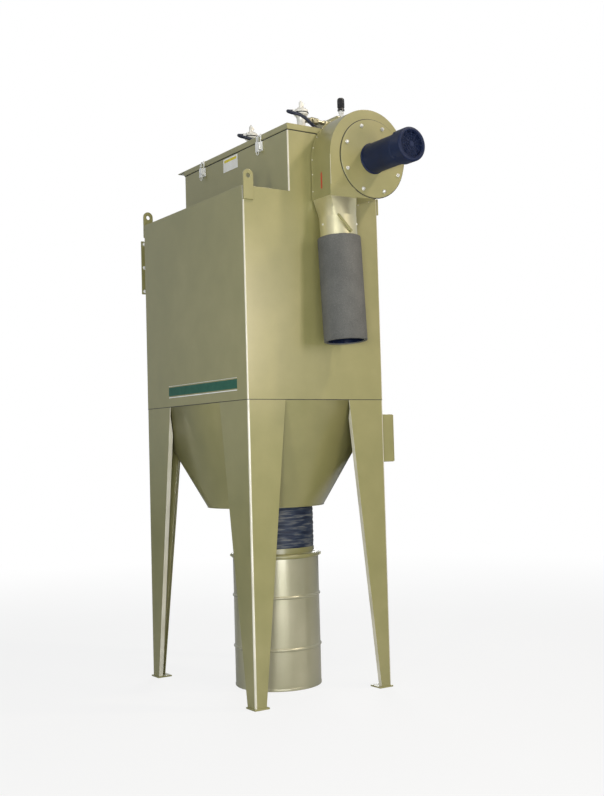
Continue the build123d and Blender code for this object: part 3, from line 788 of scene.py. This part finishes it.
turned((drum_x, drum_y, 0), up, profile, 128)
face_out(hose)
crease = random.Random(5)
lobes = [(crease.randint(3, 11), crease.uniform(0, 2 * pi), crease.uniform(12, 40)) for _ in range(7)]
for corner in hose.data.vertices:
    out = Vector((corner.co.x - drum_x, corner.co.y - drum_y))
    turn = asin(max(-1, min(1, out.y / out.length)))
    turn = turn if out.x > 0 else pi - turn
    share = (corner.co.z - hose_low.z) / (hose_high.z - hose_low.z)
    calm = min(1.0, 12 * share, 12 * (1 - share))
    sag = sum(sin(count * turn + phase + pitch * share) for count, phase, pitch in lobes) / len(lobes)
    rib = abs(cos(pi * (share * hose_turns + turn / (2 * pi) + 0.16 * sag)))
    reach = hose_r - hose_wall + calm * (0.0035 * rib ** 0.6 + 0.0016 * sag)
    corner.co.x = drum_x + out.x / out.length * reach
    corner.co.y = drum_y + out.y / out.length * reach
thicken(hose, 0.0015)
fit(hose, hose_cloth, ["discharge_hose"], smooth=60)

# Dust drum: a standard 55 gallon steel drum with two rolled hoops and a seamed bottom, closed
# by a flat lid with a collar and a clamp ring in two halves, drawn together by two bolts.
drum_r = 0.287
drum_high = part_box("drum_body")[1]
drum_skin = toned(
    "drum_enamel",
    (4, 4),
    ((0.35, (0.42, 0.405, 0.275)), (0.65, (0.48, 0.46, 0.325))),
    (0.30, 0.10),
    (160, 2, 0.0004, 0.25),
    Metallic=0.35,
    Coat_Weight=0.8,
    Coat_Roughness=0.16,
)
drum = start_piece("drum_shell")
outside = [
    (drum_r - 0.002, 0.0), (drum_r + 0.0015, 0.003), (drum_r + 0.0015, 0.014), (drum_r - 0.001, 0.017),
    (drum_r - 0.0005, 0.021),
]
hoop_out = 0.0074
hoop_high = 0.022
for hoop_z in (0.262, 0.598):
    for step in range(11):
        share = step / 10
        outside.append((drum_r + hoop_out * sin(pi * share), hoop_z - hoop_high / 2 + hoop_high * share))
outside.append((drum_r, drum_high.z - 0.002))
turned((drum_x, drum_y, 0), up, outside, 96)
face_out(drum)
thicken(drum, 0.0022)
fit(drum, drum_skin, ["drum_body"], smooth=40)
dress("drum_bottom", "drum_bottom_plate", 0.0008, finish=drum_skin)
lid_z = drum_high.z
collar_r = 0.254
drum_cover = start_piece("drum_cover")
turned(
    (drum_x, drum_y, 0), up,
    [
        (collar_r - 0.003, lid_z), (drum_r + 0.0005, lid_z), (drum_r + 0.0025, lid_z + 0.002),
        (drum_r + 0.0005, lid_z + 0.004), (drum_r - 0.006, lid_z + 0.004), (drum_r - 0.009, lid_z + 0.0015),
        (drum_r - 0.020, lid_z + 0.0015), (drum_r - 0.023, lid_z + 0.004), (collar_r + 0.0085, lid_z + 0.004),
        (collar_r + 0.0053, lid_z + 0.007), (collar_r + 0.0053, lid_z + 0.038),
        (collar_r + 0.004, lid_z + 0.040),
        (collar_r, lid_z + 0.040), (collar_r, lid_z + 0.064), (collar_r - 0.0015, lid_z + 0.066),
        (collar_r - 0.003, lid_z + 0.064), (collar_r - 0.003, lid_z),
    ],
    96,
)
face_out(drum_cover)
fit(drum_cover, khaki, ["drum_lid"], smooth=40)
clamp = start_piece("clamp_ring")
clamp_z = lid_z - 0.011
section = []
for step in range(13):
    turn = radians(-120 + 240 * step / 12)
    section.append((drum_r + 0.0032 + 0.0085 * cos(turn), clamp_z + 0.0140 * sin(turn)))
for step in range(12, -1, -1):
    turn = radians(-115 + 230 * step / 12)
    section.append((drum_r + 0.0032 + 0.0065 * cos(turn), clamp_z + 0.0120 * sin(turn)))
section.append(section[0])
turned((drum_x, drum_y, 0), up, section, 96)
for turn in (radians(-36), radians(144)):
    away = Vector((cos(turn), sin(turn), 0))
    across = Vector((-away.y, away.x, 0))
    clamp_at = Vector((drum_x, drum_y, clamp_z)) + away * (drum_r + 0.009)
    for side in (-1, 1):
        rod(clamp_at + across * side * 0.010, across * side, 0.0095, 0.016, 16)
        rod(clamp_at + across * side * 0.026, across * side, 0.0075, 0.008, 6)
    rod(clamp_at - across * 0.036, across, 0.0045, 0.072, 12)
face_out(clamp)
fit(clamp, khaki, ["drum_clamp_ring"], smooth=40)

# Inlet: a welded stub with a flange on the back wall, ready for the dust duct. Eight bolts
# with plain washers stand in the flange's holes.
dress("inlet_flange", "inlet_stub", 0.001)


def hex_bolt(name, across, head, washer_r, washer, shank=0.0):
    """A hexagon head with its chamfer on a plain washer, and a shank end behind if asked."""
    bolt = start_piece(name)
    rod((0, 0, washer), up, across / 2 / cos(pi / 6), head * 0.8, 6)
    rod((0, 0, washer + head * 0.8), up, across / 2 / cos(pi / 6), head * 0.2, 6, across * 0.44)
    rod((0, 0, 0), up, washer_r, washer, 20)
    if shank:
        rod((0, 0, 0), (0, 0, -1), across * 0.3, shank, 12)
    face_out(bolt)
    round_edges(bolt, washer * 0.2, 1, 50)
    return bolt


inlet_places = []
bolt_pitch = 0.171
flange_back = inlet_high.y - 0.008
for i in (-1, 0, 1):
    for j in (-1, 0, 1):
        if i or j:
            spot = Vector((inlet_mid.x + i * bolt_pitch, flange_back, inlet_mid.z + j * bolt_pitch))
            inlet_places.append(stand_at(spot, to_front, radians(10 * i + 17 * j)))
inlet_bolts = copies(hex_bolt("inlet_bolt", 0.019, 0.009, 0.013, 0.002, 0.016), "inlet_bolts", inlet_places)
fit(inlet_bolts, zinc)

# Control box: a folded sheet-steel box on the front right leg, with a door on two hinges,
# two quarter-turn locks and a cable gland below.
plastic = toned(
    "black_plastic_moulded",
    (80, 3),
    ((0.3, (0.009, 0.009, 0.011)), (0.7, (0.019, 0.019, 0.022))),
    (0.20, 0.15),
    (400, 2, 0.0002, 0.2),
)
box_low, box_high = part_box("control_box")
door_low, door_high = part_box("control_box_door")
dress("control_box", "control_box_case", 0.004, 3)


def foot_of(node):
    """The middle of a CAD piece's underside."""
    low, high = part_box(node)
    return Vector(((low.x + high.x) / 2, (low.y + high.y) / 2, low.z))


door = block("control_box_lid", door_low, door_high - Vector((0.004, 0, 0)))
open_piece(door)
pick(door, "FACE", lambda face: face.normal.x > 0.9)
bpy.ops.mesh.inset(thickness=0.010, depth=0)
extrude((0.0015, 0, 0))
close_piece()
round_edges(door, 0.001)
fit(door, khaki, ["control_box_door"])
fittings = start_piece("control_box_fittings")
for z in (box_low.z + 0.05, box_high.z - 0.05):
    rod((door_low.x + 0.001, box_high.y + 0.004, z - 0.02), up, 0.005, 0.04, 16)
    rod((door_high.x - 0.004, door_low.y + 0.022, z), (1, 0, 0), 0.011, 0.004, 24, 0.009)
fine_rounding = (0.0006, 2, 50)
complete(fittings, fine_rounding, zinc)
gland = start_piece("cable_gland")
gland_at = foot_of("control_box")
rod(gland_at, (0, 0, -1), 0.016, 0.008, 6)
rod(gland_at + Vector((0, 0, -0.008)), (0, 0, -1), 0.013, 0.016, 24, 0.009)
complete(gland, small_rounding, plastic)

# Blower: a welded scroll of 3 mm sheet with a back flange that is bolted to the plenum by way
# of a mounting plate, and a round cover plate that carries the motor.
dress("fan_mount", "fan_mount_plate", 0.001)
scroll_low, scroll_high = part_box("fan_housing")
scroll = dress("fan_housing", "blower_scroll", 0.0045, 4, 50)
scroll_left_r = 0.325
scroll_top_r = 0.275
scroll_low_r = 0.300
arc_foot = scroll_high.z - scroll_left_r
# The scroll's front left edge gets the pale enamel: a painted highlight.
paint_fold_highlights(scroll, lambda face: face.normal.x < -0.1 and face.normal.y < -0.1 and face.center.z < arc_foot)
scroll_flange = copy_of("fan_housing", "scroll_flange")
open_piece(scroll_flange)
pick(scroll_flange, "FACE", lambda face: face.normal.y < 0.9)
bpy.ops.mesh.delete(type="FACE")
pick_all()
scroll_mid = (scroll_low + scroll_high) / 2
bpy.ops.transform.resize(
    value=(1.026, 1, 1.024), center_override=(scroll_mid.x, scroll_high.y, scroll_mid.z)
)
flange_thick = 0.005
extrude((0, -flange_thick, 0))
complete(scroll_flange, small_rounding, khaki)
flange_front = scroll_high.y - flange_thick
arc_left = (scroll_low.x + scroll_left_r, scroll_high.z - scroll_left_r, scroll_left_r)
arc_top = (scroll_low.x + scroll_left_r, scroll_high.z - scroll_top_r, scroll_top_r)
arc_low = (scroll_low.x + scroll_low_r, scroll_high.z - scroll_top_r, scroll_low_r)
flange_spots = [(scroll_low.x - 0.004, scroll_low.z + rise) for rise in (0.055, 0.165)]
for (centre_x, centre_z, radius), first, last, count in (
    (arc_left, 179, 95, 6),
    (arc_top, 80, 8, 4),
    (arc_low, -8, -80, 4),
):
    for step in range(count + 1):
        turn = radians(first + (last - first) * step / count)
        reach = radius + 0.0035
        flange_spots.append((centre_x + reach * cos(turn), centre_z + reach * sin(turn)))
flange_places = []
for index, (x, z) in enumerate(flange_spots):
    flange_places.append(stand_at((x, flange_front, z), to_front, 0.3 * index))
flange_bolts = copies(hex_bolt("flange_bolt", 0.006, 0.003, 0.0040, 0.001), "flange_bolts", flange_places)
# The flange bolt heads take the same pale enamel: painted highlights on them.
fit(flange_bolts, painted_fold_highlight)
cover_low, cover_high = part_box("fan_cover")
eye = Vector(((cover_low.x + cover_high.x) / 2, cover_low.y, (cover_low.z + cover_high.z) / 2))
cover_r = (cover_high.x - cover_low.x) / 2
# A black ring just proud of the cover's edge: partly a real gasket, partly a painted shadow line under the
# cover.
cover_gasket_shadow_ring = start_piece("cover_gasket_shadow_ring")
rod((eye.x, cover_high.y, eye.z), to_front, cover_r + 0.0045, 0.0022, 96)
complete(cover_gasket_shadow_ring, (0.0005,), rubber)
cover = start_piece("blower_cover")
turned(
    (eye.x, cover_high.y, eye.z), to_front,
    [
        (0, 0.001), (cover_r - 0.001, 0.001), (cover_r, 0.002), (cover_r, 0.0062), (cover_r - 0.0018, 0.008),
        (0.118, 0.008), (0.116, 0.0088), (0.1005, 0.0088), (0, 0.0088),
    ],
    96,
)
face_out(cover)
fit(cover, khaki, ["fan_cover"])
steel = toned(
    "dull_steel",
    (45, 4),
    ((0.3, (0.62, 0.63, 0.62)), (0.7, (0.78, 0.78, 0.75))),
    (0.26, 0.2),
    (300, 2, 0.0003, 0.2),
    Metallic=0.7,
)
cover_places = []
bolt_circle_r = 0.219
for step in range(8):
    turn = radians(22.5 + 45 * step)
    spot = Vector((eye.x + bolt_circle_r * cos(turn), cover_low.y, eye.z + bolt_circle_r * sin(turn)))
    cover_places.append(stand_at(spot, to_front, turn * 1.7))
cover_bolts = copies(hex_bolt("cover_bolt", 0.017, 0.010, 0.0125, 0.0025), "cover_bolts", cover_places)
fit(cover_bolts, steel)

# Motor: a smooth rolled-steel body in dark blue enamel, with a foot ring at the cover and a
# pressed fan cowl at the far end, whose grille has rings and spokes over a dark hollow.
navy = Finish("motor_enamel")
navy_tone = navy.noise(5, 3)
navy_peel = navy.noise(260, 2)
navy.set(
    Base_Color=navy.ramp(navy_tone, (0.3, (0.0020, 0.0080, 0.036)), (0.7, (0.0045, 0.0150, 0.058))),
    Roughness=0.42 + navy_peel * 0.14,
    Specular_IOR_Level=0.3,
    Normal=navy.bump(navy_peel, 0.0005, 0.3),
)
motor_low, motor_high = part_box("motor_body")
motor_r = (motor_high.x - motor_low.x) / 2
motor_long = motor_high.y - motor_low.y
motor = start_piece("motor_shell")
turned(
    (eye.x, motor_high.y, eye.z), to_front,
    [
        (0, 0), (motor_r + 0.005, 0), (motor_r + 0.005, 0.007), (motor_r + 0.003, 0.009),
        (motor_r - 0.002, 0.011), (motor_r - 0.002, 0.015), (motor_r, 0.017), (motor_r, motor_long - 0.022),
        (motor_r - 0.0015, motor_long - 0.020), (motor_r - 0.0015, motor_long - 0.016),
        (motor_r, motor_long - 0.014), (motor_r, motor_long), (0, motor_long),
    ],
    72,
)
face_out(motor)
fit(motor, navy, ["motor_body"])
cowl_low, cowl_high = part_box("motor_cowl")
cowl_r = (cowl_high.x - cowl_low.x) / 2
cowl_long = cowl_high.y - cowl_low.y
cowl = start_piece("motor_cowl_pressing")
rim = []
for step in range(7):
    turn = radians(15 * step)
    rim.append((cowl_r - 0.012 + 0.012 * cos(turn), cowl_long - 0.012 + 0.012 * sin(turn)))
turned(
    (eye.x, cowl_high.y, eye.z), to_front,
    [
        (motor_r - 0.001, 0), (cowl_r - 0.001, 0), (cowl_r, 0.001), *rim, (cowl_r - 0.019, cowl_long),
        (cowl_r - 0.0215, cowl_long - 0.0035), (cowl_r - 0.0215, cowl_long - 0.006),
        (cowl_r - 0.0235, cowl_long - 0.006), (cowl_r - 0.0235, cowl_long - 0.030), (0, cowl_long - 0.030),
    ],
    72,
)
face_out(cowl)
fit(cowl, navy, ["motor_cowl"])
grille = start_piece("motor_grille")
grille_depth = 0.0055
grille_at = Vector((eye.x, cowl_low.y + grille_depth, eye.z))
for radius in (0.018, 0.034, 0.050, 0.066, 0.080):
    ring(grille_at, to_front, radius, 0.0016, 48, 6)
for step in range(12):
    turn = radians(30 * step)
    out = Vector((cos(turn), 0, sin(turn)))
    rod(grille_at + out * 0.012, out, 0.0020, 0.073, 6)
rod(grille_at + Vector((0, 0.002, 0)), to_front, 0.016, 0.004, 24)
face_out(grille)
fit(grille, navy)
screw_places = []
for degrees in (45, 135, 225, 315):
    turn = radians(degrees)
    spot = (eye.x + cowl_r * cos(turn), cowl_high.y - 0.014, eye.z + cowl_r * sin(turn))
    screw_places.append(stand_at(spot, (cos(turn), 0, sin(turn))))
cowl_screws = copies(hex_bolt("cowl_screw", 0.008, 0.004, 0.0055, 0.001), "cowl_screws", screw_places)
fit(cowl_screws, navy)

# Outlet: a rolled transition from the square blower outlet to the round duct, screwed to the
# duct with three pan-head screws. Both show brighter in the photo than the cabinet does.
duct_lean = radians(3.5)
down_duct = Vector((0, -sin(duct_lean), -cos(duct_lean)))
duct_top = Vector((0.098, front - 0.132, scroll_low.z - 0.128))
duct_r = 0.118
duct_wall = 0.003
duct_long = 0.222
duct_enamel = toned(
    "duct_enamel",
    (5, 4),
    ((0.35, (0.68, 0.64, 0.40)), (0.65, (0.76, 0.71, 0.47))),
    (0.33, 0.08),
    (150, 2, 0.0004, 0.2),
    Metallic=0.8,
    Coat_Weight=0.8,
    Coat_Roughness=0.24,
)
transition = start_piece("outlet_transition_rolled")
mouth_width = 0.196
mouth = Vector((scroll_low.x + mouth_width / 2, (scroll_low.y + scroll_high.y) / 2, scroll_low.z))
mouth_size = (mouth_width, scroll_high.y - scroll_low.y, 1)
bpy.ops.mesh.primitive_grid_add(x_subdivisions=12, y_subdivisions=12, size=1, location=mouth)
bpy.ops.transform.resize(value=mouth_size, center_override=mouth)
bpy.ops.mesh.region_to_loop()
bpy.ops.mesh.select_all(action="INVERT")
bpy.ops.mesh.delete(type="VERT")
aim = down_duct.to_track_quat("Z", "Y").to_euler()
bpy.ops.mesh.primitive_circle_add(vertices=48, radius=duct_r, location=duct_top, rotation=aim)
pick_all()
bpy.ops.mesh.bridge_edge_loops(number_cuts=5, interpolation="LINEAR")
face_out(transition)
thicken(transition, duct_wall)
fit(transition, duct_enamel, ["outlet_transition"], smooth=40)
duct = start_piece("outlet_duct_rolled")
turned(
    duct_top, down_duct,
    [
        (duct_r - duct_wall, 0.001), (duct_r, 0.000), (duct_r + 0.0008, 0.001), (duct_r + 0.0008, 0.017),
        (duct_r, 0.019), (duct_r, duct_long), (duct_r - duct_wall, duct_long), (duct_r - duct_wall, 0.001),
    ],
    96,
)
face_out(duct)
fit(duct, duct_enamel, ["outlet_duct"], smooth=40)
duct_screws = []
screws_down = 0.052
for degrees in (180, 67, -46):
    out = Vector((cos(radians(degrees)), sin(radians(degrees)), 0))
    out = (out - down_duct * out.dot(down_duct)).normalized()
    duct_screws.append(stand_at(duct_top + down_duct * screws_down + out * duct_r, out))
screw = start_piece("duct_screw")
rod((0, 0, 0), up, 0.0062, 0.0018, 16)
rod((0, 0, 0.0018), up, 0.0055, 0.0022, 16, 0.003)
face_out(screw)
fit(copies(screw, "duct_screws", duct_screws), zinc)

# Damper: a round blade on a shaft through the duct. Its hand lever stands off the duct on a
# hub, with a nut that holds it in place.
dress("damper", "damper_lever", 0.0008, body="damper_blade")
out_of_duct = Vector((0, -cos(duct_lean), sin(duct_lean)))
damper_down = 0.109
damper_at = duct_top + down_duct * damper_down
hub = start_piece("damper_bearing")
rod(damper_at + out_of_duct * (duct_r - 0.004), out_of_duct, 0.014, 0.0105, 24, 0.0115)
complete(hub, fine_rounding, khaki)
nut = start_piece("damper_nut")
rod(damper_at + out_of_duct * (duct_r + 0.013), out_of_duct, 0.0088, 0.006, 6)
complete(nut, fine_rounding, khaki, body="damper_blade")

# Silencer: a thick sleeve of open-cell grey foam round the duct's end, over a smooth dark
# liner that shows at its lower mouth.
foam = Finish("grey_foam")
foam_cells = foam.node("TexVoronoi", None, {"Vector": foam.place(), "Scale": 190.0})
foam_tone = foam.noise(7, 5)
foam_grain = foam.noise(95, 4)
foam.set(
    Base_Color=foam.ramp(
        foam_tone * 0.55 + foam_grain * 0.25 + foam_cells * 0.2,
        (0.30, (0.078, 0.080, 0.078)), (0.50, (0.108, 0.110, 0.106)), (0.70, (0.142, 0.142, 0.136)),
    ),
    Roughness=0.95 - foam_cells * 0.1,
    Normal=foam.bump(foam_cells + foam_grain, 0.002, 0.5),
)
sleeve_top = 0.129
sleeve_end = 0.789
sleeve_r = 0.137
sleeve = start_piece("silencer_sleeve")
turned(
    duct_top, down_duct,
    [
        (duct_r + 0.0004, sleeve_top + 0.004), (duct_r + 0.005, sleeve_top),
        (sleeve_r - 0.007, sleeve_top),
        (sleeve_r - 0.002, sleeve_top + 0.002), (sleeve_r, sleeve_top + 0.007),
        (sleeve_r, sleeve_end - 0.005), (sleeve_r - 0.002, sleeve_end - 0.0015),
        (sleeve_r - 0.005, sleeve_end), (duct_r + 0.004, sleeve_end),
        (duct_r + 0.0004, sleeve_end - 0.004), (duct_r + 0.0004, sleeve_top + 0.004),
    ],
    72,
)
face_out(sleeve)
fit(sleeve, foam, ["silencer"], smooth=50)
liner_skin = toned(
    "liner_plastic", (12, 3), ((0.3, (0.006, 0.010, 0.030)), (0.7, (0.014, 0.022, 0.055))), (0.16, 0.1)
)
liner = start_piece("silencer_liner")
liner_in = duct_r - duct_wall
liner_top = duct_long + 0.0005
liner_end = sleeve_end - 0.006
turned(
    duct_top, down_duct,
    [
        (duct_r, liner_top), (duct_r, liner_end), (liner_in, liner_end), (liner_in, liner_top),
        (duct_r, liner_top),
    ],
    72,
)
face_out(liner)
fit(liner, liner_skin, smooth=50)

# Pulse valves: cast bodies on the lid, each with a bolted bonnet over a rubber diaphragm and
# a small pilot on top.
valve_metal = toned(
    "bright_casting",
    (70, 3),
    ((0.3, (0.82, 0.81, 0.76)), (0.7, (0.93, 0.92, 0.87))),
    (0.26, 0.16),
    (260, 3, 0.0004, 0.25),
    Metallic=0.25,
)
cap_r = 0.046
bonnet_r = 0.0395
for index in (1, 2):
    at = foot_of(f"pulse_valve_{index}")
    valve = start_piece(f"valve_{index}_casting")
    turned(
        at, up,
        [
            (0, 0), (0.039, 0), (0.040, 0.001), (0.040, 0.007), (0.038, 0.008), (0.032, 0.009),
            (0.028, 0.013), (0.0275, 0.060), (0.029, 0.078), (0.035, 0.092), (0.043, 0.100), (cap_r, 0.104),
            (cap_r, 0.112), (0, 0.112),
        ],
        48,
    )
    turned(
        at, up,
        [
            (0, 0.118), (cap_r, 0.118), (cap_r, 0.130), (0.043, 0.133), (0.036, 0.135), (0.031, 0.142),
            (0.023, 0.150), (0.014, 0.152), (0.013, 0.154), (0.009, 0.155), (0.009, 0.160), (0, 0.160),
        ],
        48,
    )
    for rise, radius, long, sides in (
        (0.158, 0.012, 0.030, 24), (0.188, 0.006, 0.008, 6), (0.196, 0.004, 0.004, 12),
    ):
        rod(at + Vector((0, 0, rise)), up, radius, long, sides)
    bar(at + Vector((0.006, -0.009, 0.164)), at + Vector((0.022, 0.009, 0.184)))
    complete(valve, fine_rounding, valve_metal, [f"pulse_valve_{index}"])
    bonnet_places = []
    for step in range(8):
        turn = radians(45 * step + 10)
        spot = at + Vector((bonnet_r * cos(turn), bonnet_r * sin(turn), 0.1335))
        bonnet_places.append(stand_at(spot, up, turn))
    bonnet_bolt = hex_bolt("bonnet_bolt", 0.010, 0.006, 0.0064, 0.001)
    fit(copies(bonnet_bolt, f"bonnet_bolts_{index}", bonnet_places), zinc)
dress("diaphragms", "diaphragm_edges", 0.004, 3, finish=rubber, slot="gasket_rubber")

# Air header: a square steel tank on two saddles, with unions to the valves and a black
# regulator at the blower end.
dress("air_header", "air_header_tank", 0.008, 4, 50)
pipes_low, pipes_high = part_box("feed_pipes")
unions = start_piece("pipe_unions")
pipe_z = (pipes_low.z + pipes_high.z) / 2
pipe_inset = 0.0234
for y in (pipes_low.y + pipe_inset, pipes_high.y - pipe_inset):
    start = Vector((pipes_low.x - 0.002, y, pipe_z))
    end = pipes_high.x
    rod(start, (1, 0, 0), 0.0135, end - start.x, 24)
    for x, radius, long, sides in (
        (start.x + 0.004, 0.019, 0.010, 24),
        (start.x + 0.030, 0.021, 0.018, 6),
        (start.x + 0.052, 0.026, 0.006, 24),
        (start.x + 0.062, 0.027, 0.028, 6),
        (start.x + 0.094, 0.024, 0.006, 24),
        (end - 0.050, 0.020, 0.016, 6),
        (end - 0.018, 0.023, 0.018, 24),
    ):
        rod((x, y, pipe_z), (1, 0, 0), radius, long, sides)
brass_stops = ((0.3, (0.40, 0.37, 0.24)), (0.7, (0.56, 0.53, 0.38)))
brass = toned("dull_brass", (60, 4), brass_stops, (0.30, 0.16), Metallic=0.7)
complete(unions, small_rounding, brass, ["feed_pipes"])
reg_at = foot_of("regulator")
regulator = start_piece("regulator_knob")
turned(
    reg_at, up,
    [
        (0, 0.044), (0.0225, 0.044), (0.0235, 0.047), (0.023, 0.055), (0.0205, 0.060), (0.0205, 0.063),
        (0.023, 0.065), (0.0235, 0.117), (0.022, 0.124), (0.017, 0.1295), (0, 0.130),
    ],
    40,
)
rib_r = 0.0229
for step in range(20):
    turn = radians(18 * step)
    rod(reg_at + Vector((rib_r * cos(turn), rib_r * sin(turn), 0.068)), up, 0.0011, 0.046, 6)
complete(regulator, (0.0005, 2, 50), plastic, ["regulator"])
stem = start_piece("regulator_stem")
for rise, radius, long, sides in (
    (0, 0.012, 0.044, 24), (0.005, 0.0175, 0.014, 6), (0.024, 0.0170, 0.012, 24), (0.038, 0.0175, 0.006, 24),
):
    rod(reg_at + Vector((0, 0, rise)), up, radius, long, sides)
complete(stem, fine_rounding, zinc)

# Air hoses: rubber hose from each valve's cap to the tank. It loops round the front of the
# neck, runs down to the lid and turns into the tank's side, with a nut at both ends.
hose_half = 0.011
blue_stops = ((0.3, (0.006, 0.010, 0.026)), (0.7, (0.014, 0.020, 0.046)))
blue_rubber = toned("blue_rubber", (50, 4), blue_stops, (0.42, 0.2))
header_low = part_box("air_header")[0]
along_z = lid_high.z + hose_half + 0.002
exit_z = lid_high.z + 0.125
entry_z = header_low.z + 0.051
outwards = radians(160)
out_x = cos(outwards)
out_y = sin(outwards)
for index in (1, 2):
    low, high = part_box(f"pulse_valve_{index}")
    y = (low.y + high.y) / 2
    route = [
        Vector((cap_r * out_x, y + cap_r * out_y, exit_z)),
        Vector((0.082 * out_x, y + 0.082 * out_y, exit_z)),
        Vector((-0.103, y + 0.002, exit_z - 0.010)),
        Vector((-0.096, y - 0.034, exit_z - 0.030)),
        Vector((-0.062, y - 0.066, exit_z - 0.040)),
        Vector((-0.016, y - 0.080, exit_z - 0.066)),
        Vector((0.026, y - 0.075, along_z + 0.018)),
        Vector((0.072, y - 0.060, along_z)),
        Vector((0.118, y - 0.048, along_z)),
        Vector((header_low.x - 0.072, y - 0.036, along_z + 0.008)),
        Vector((header_low.x - 0.027, y - 0.028, entry_z)),
        Vector((header_low.x, y - 0.028, entry_z)),
    ]
    line = bpy.data.curves.new(f"air_hose_{index}_rubber", "CURVE")
    line.dimensions = "3D"
    spline = line.splines.new("NURBS")
    spline.points.add(len(route) - 1)
    for control, place in zip(spline.points, route):
        control.co = (*place, 1)
    spline.order_u = 3
    spline.use_endpoint_u = True
    line.resolution_u = 8
    line.bevel_depth = hose_half
    line.bevel_resolution = 5
    line.use_fill_caps = True
    hose_piece = bpy.data.objects.new(f"air_hose_{index}_rubber", line)
    add_to_scene(hose_piece)
    line.materials.append(blue_rubber.material)
    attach(hose_piece, "collector")
    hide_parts(f"air_hose_{index}")
    nuts = start_piece(f"hose_nuts_{index}")
    rod(route[0] - Vector((out_x, out_y, 0)) * 0.004, (out_x, out_y, 0), 0.015, 0.016, 6)
    rod(route[-1], to_left, 0.015, 0.014, 6)
    complete(nuts, small_rounding, zinc)
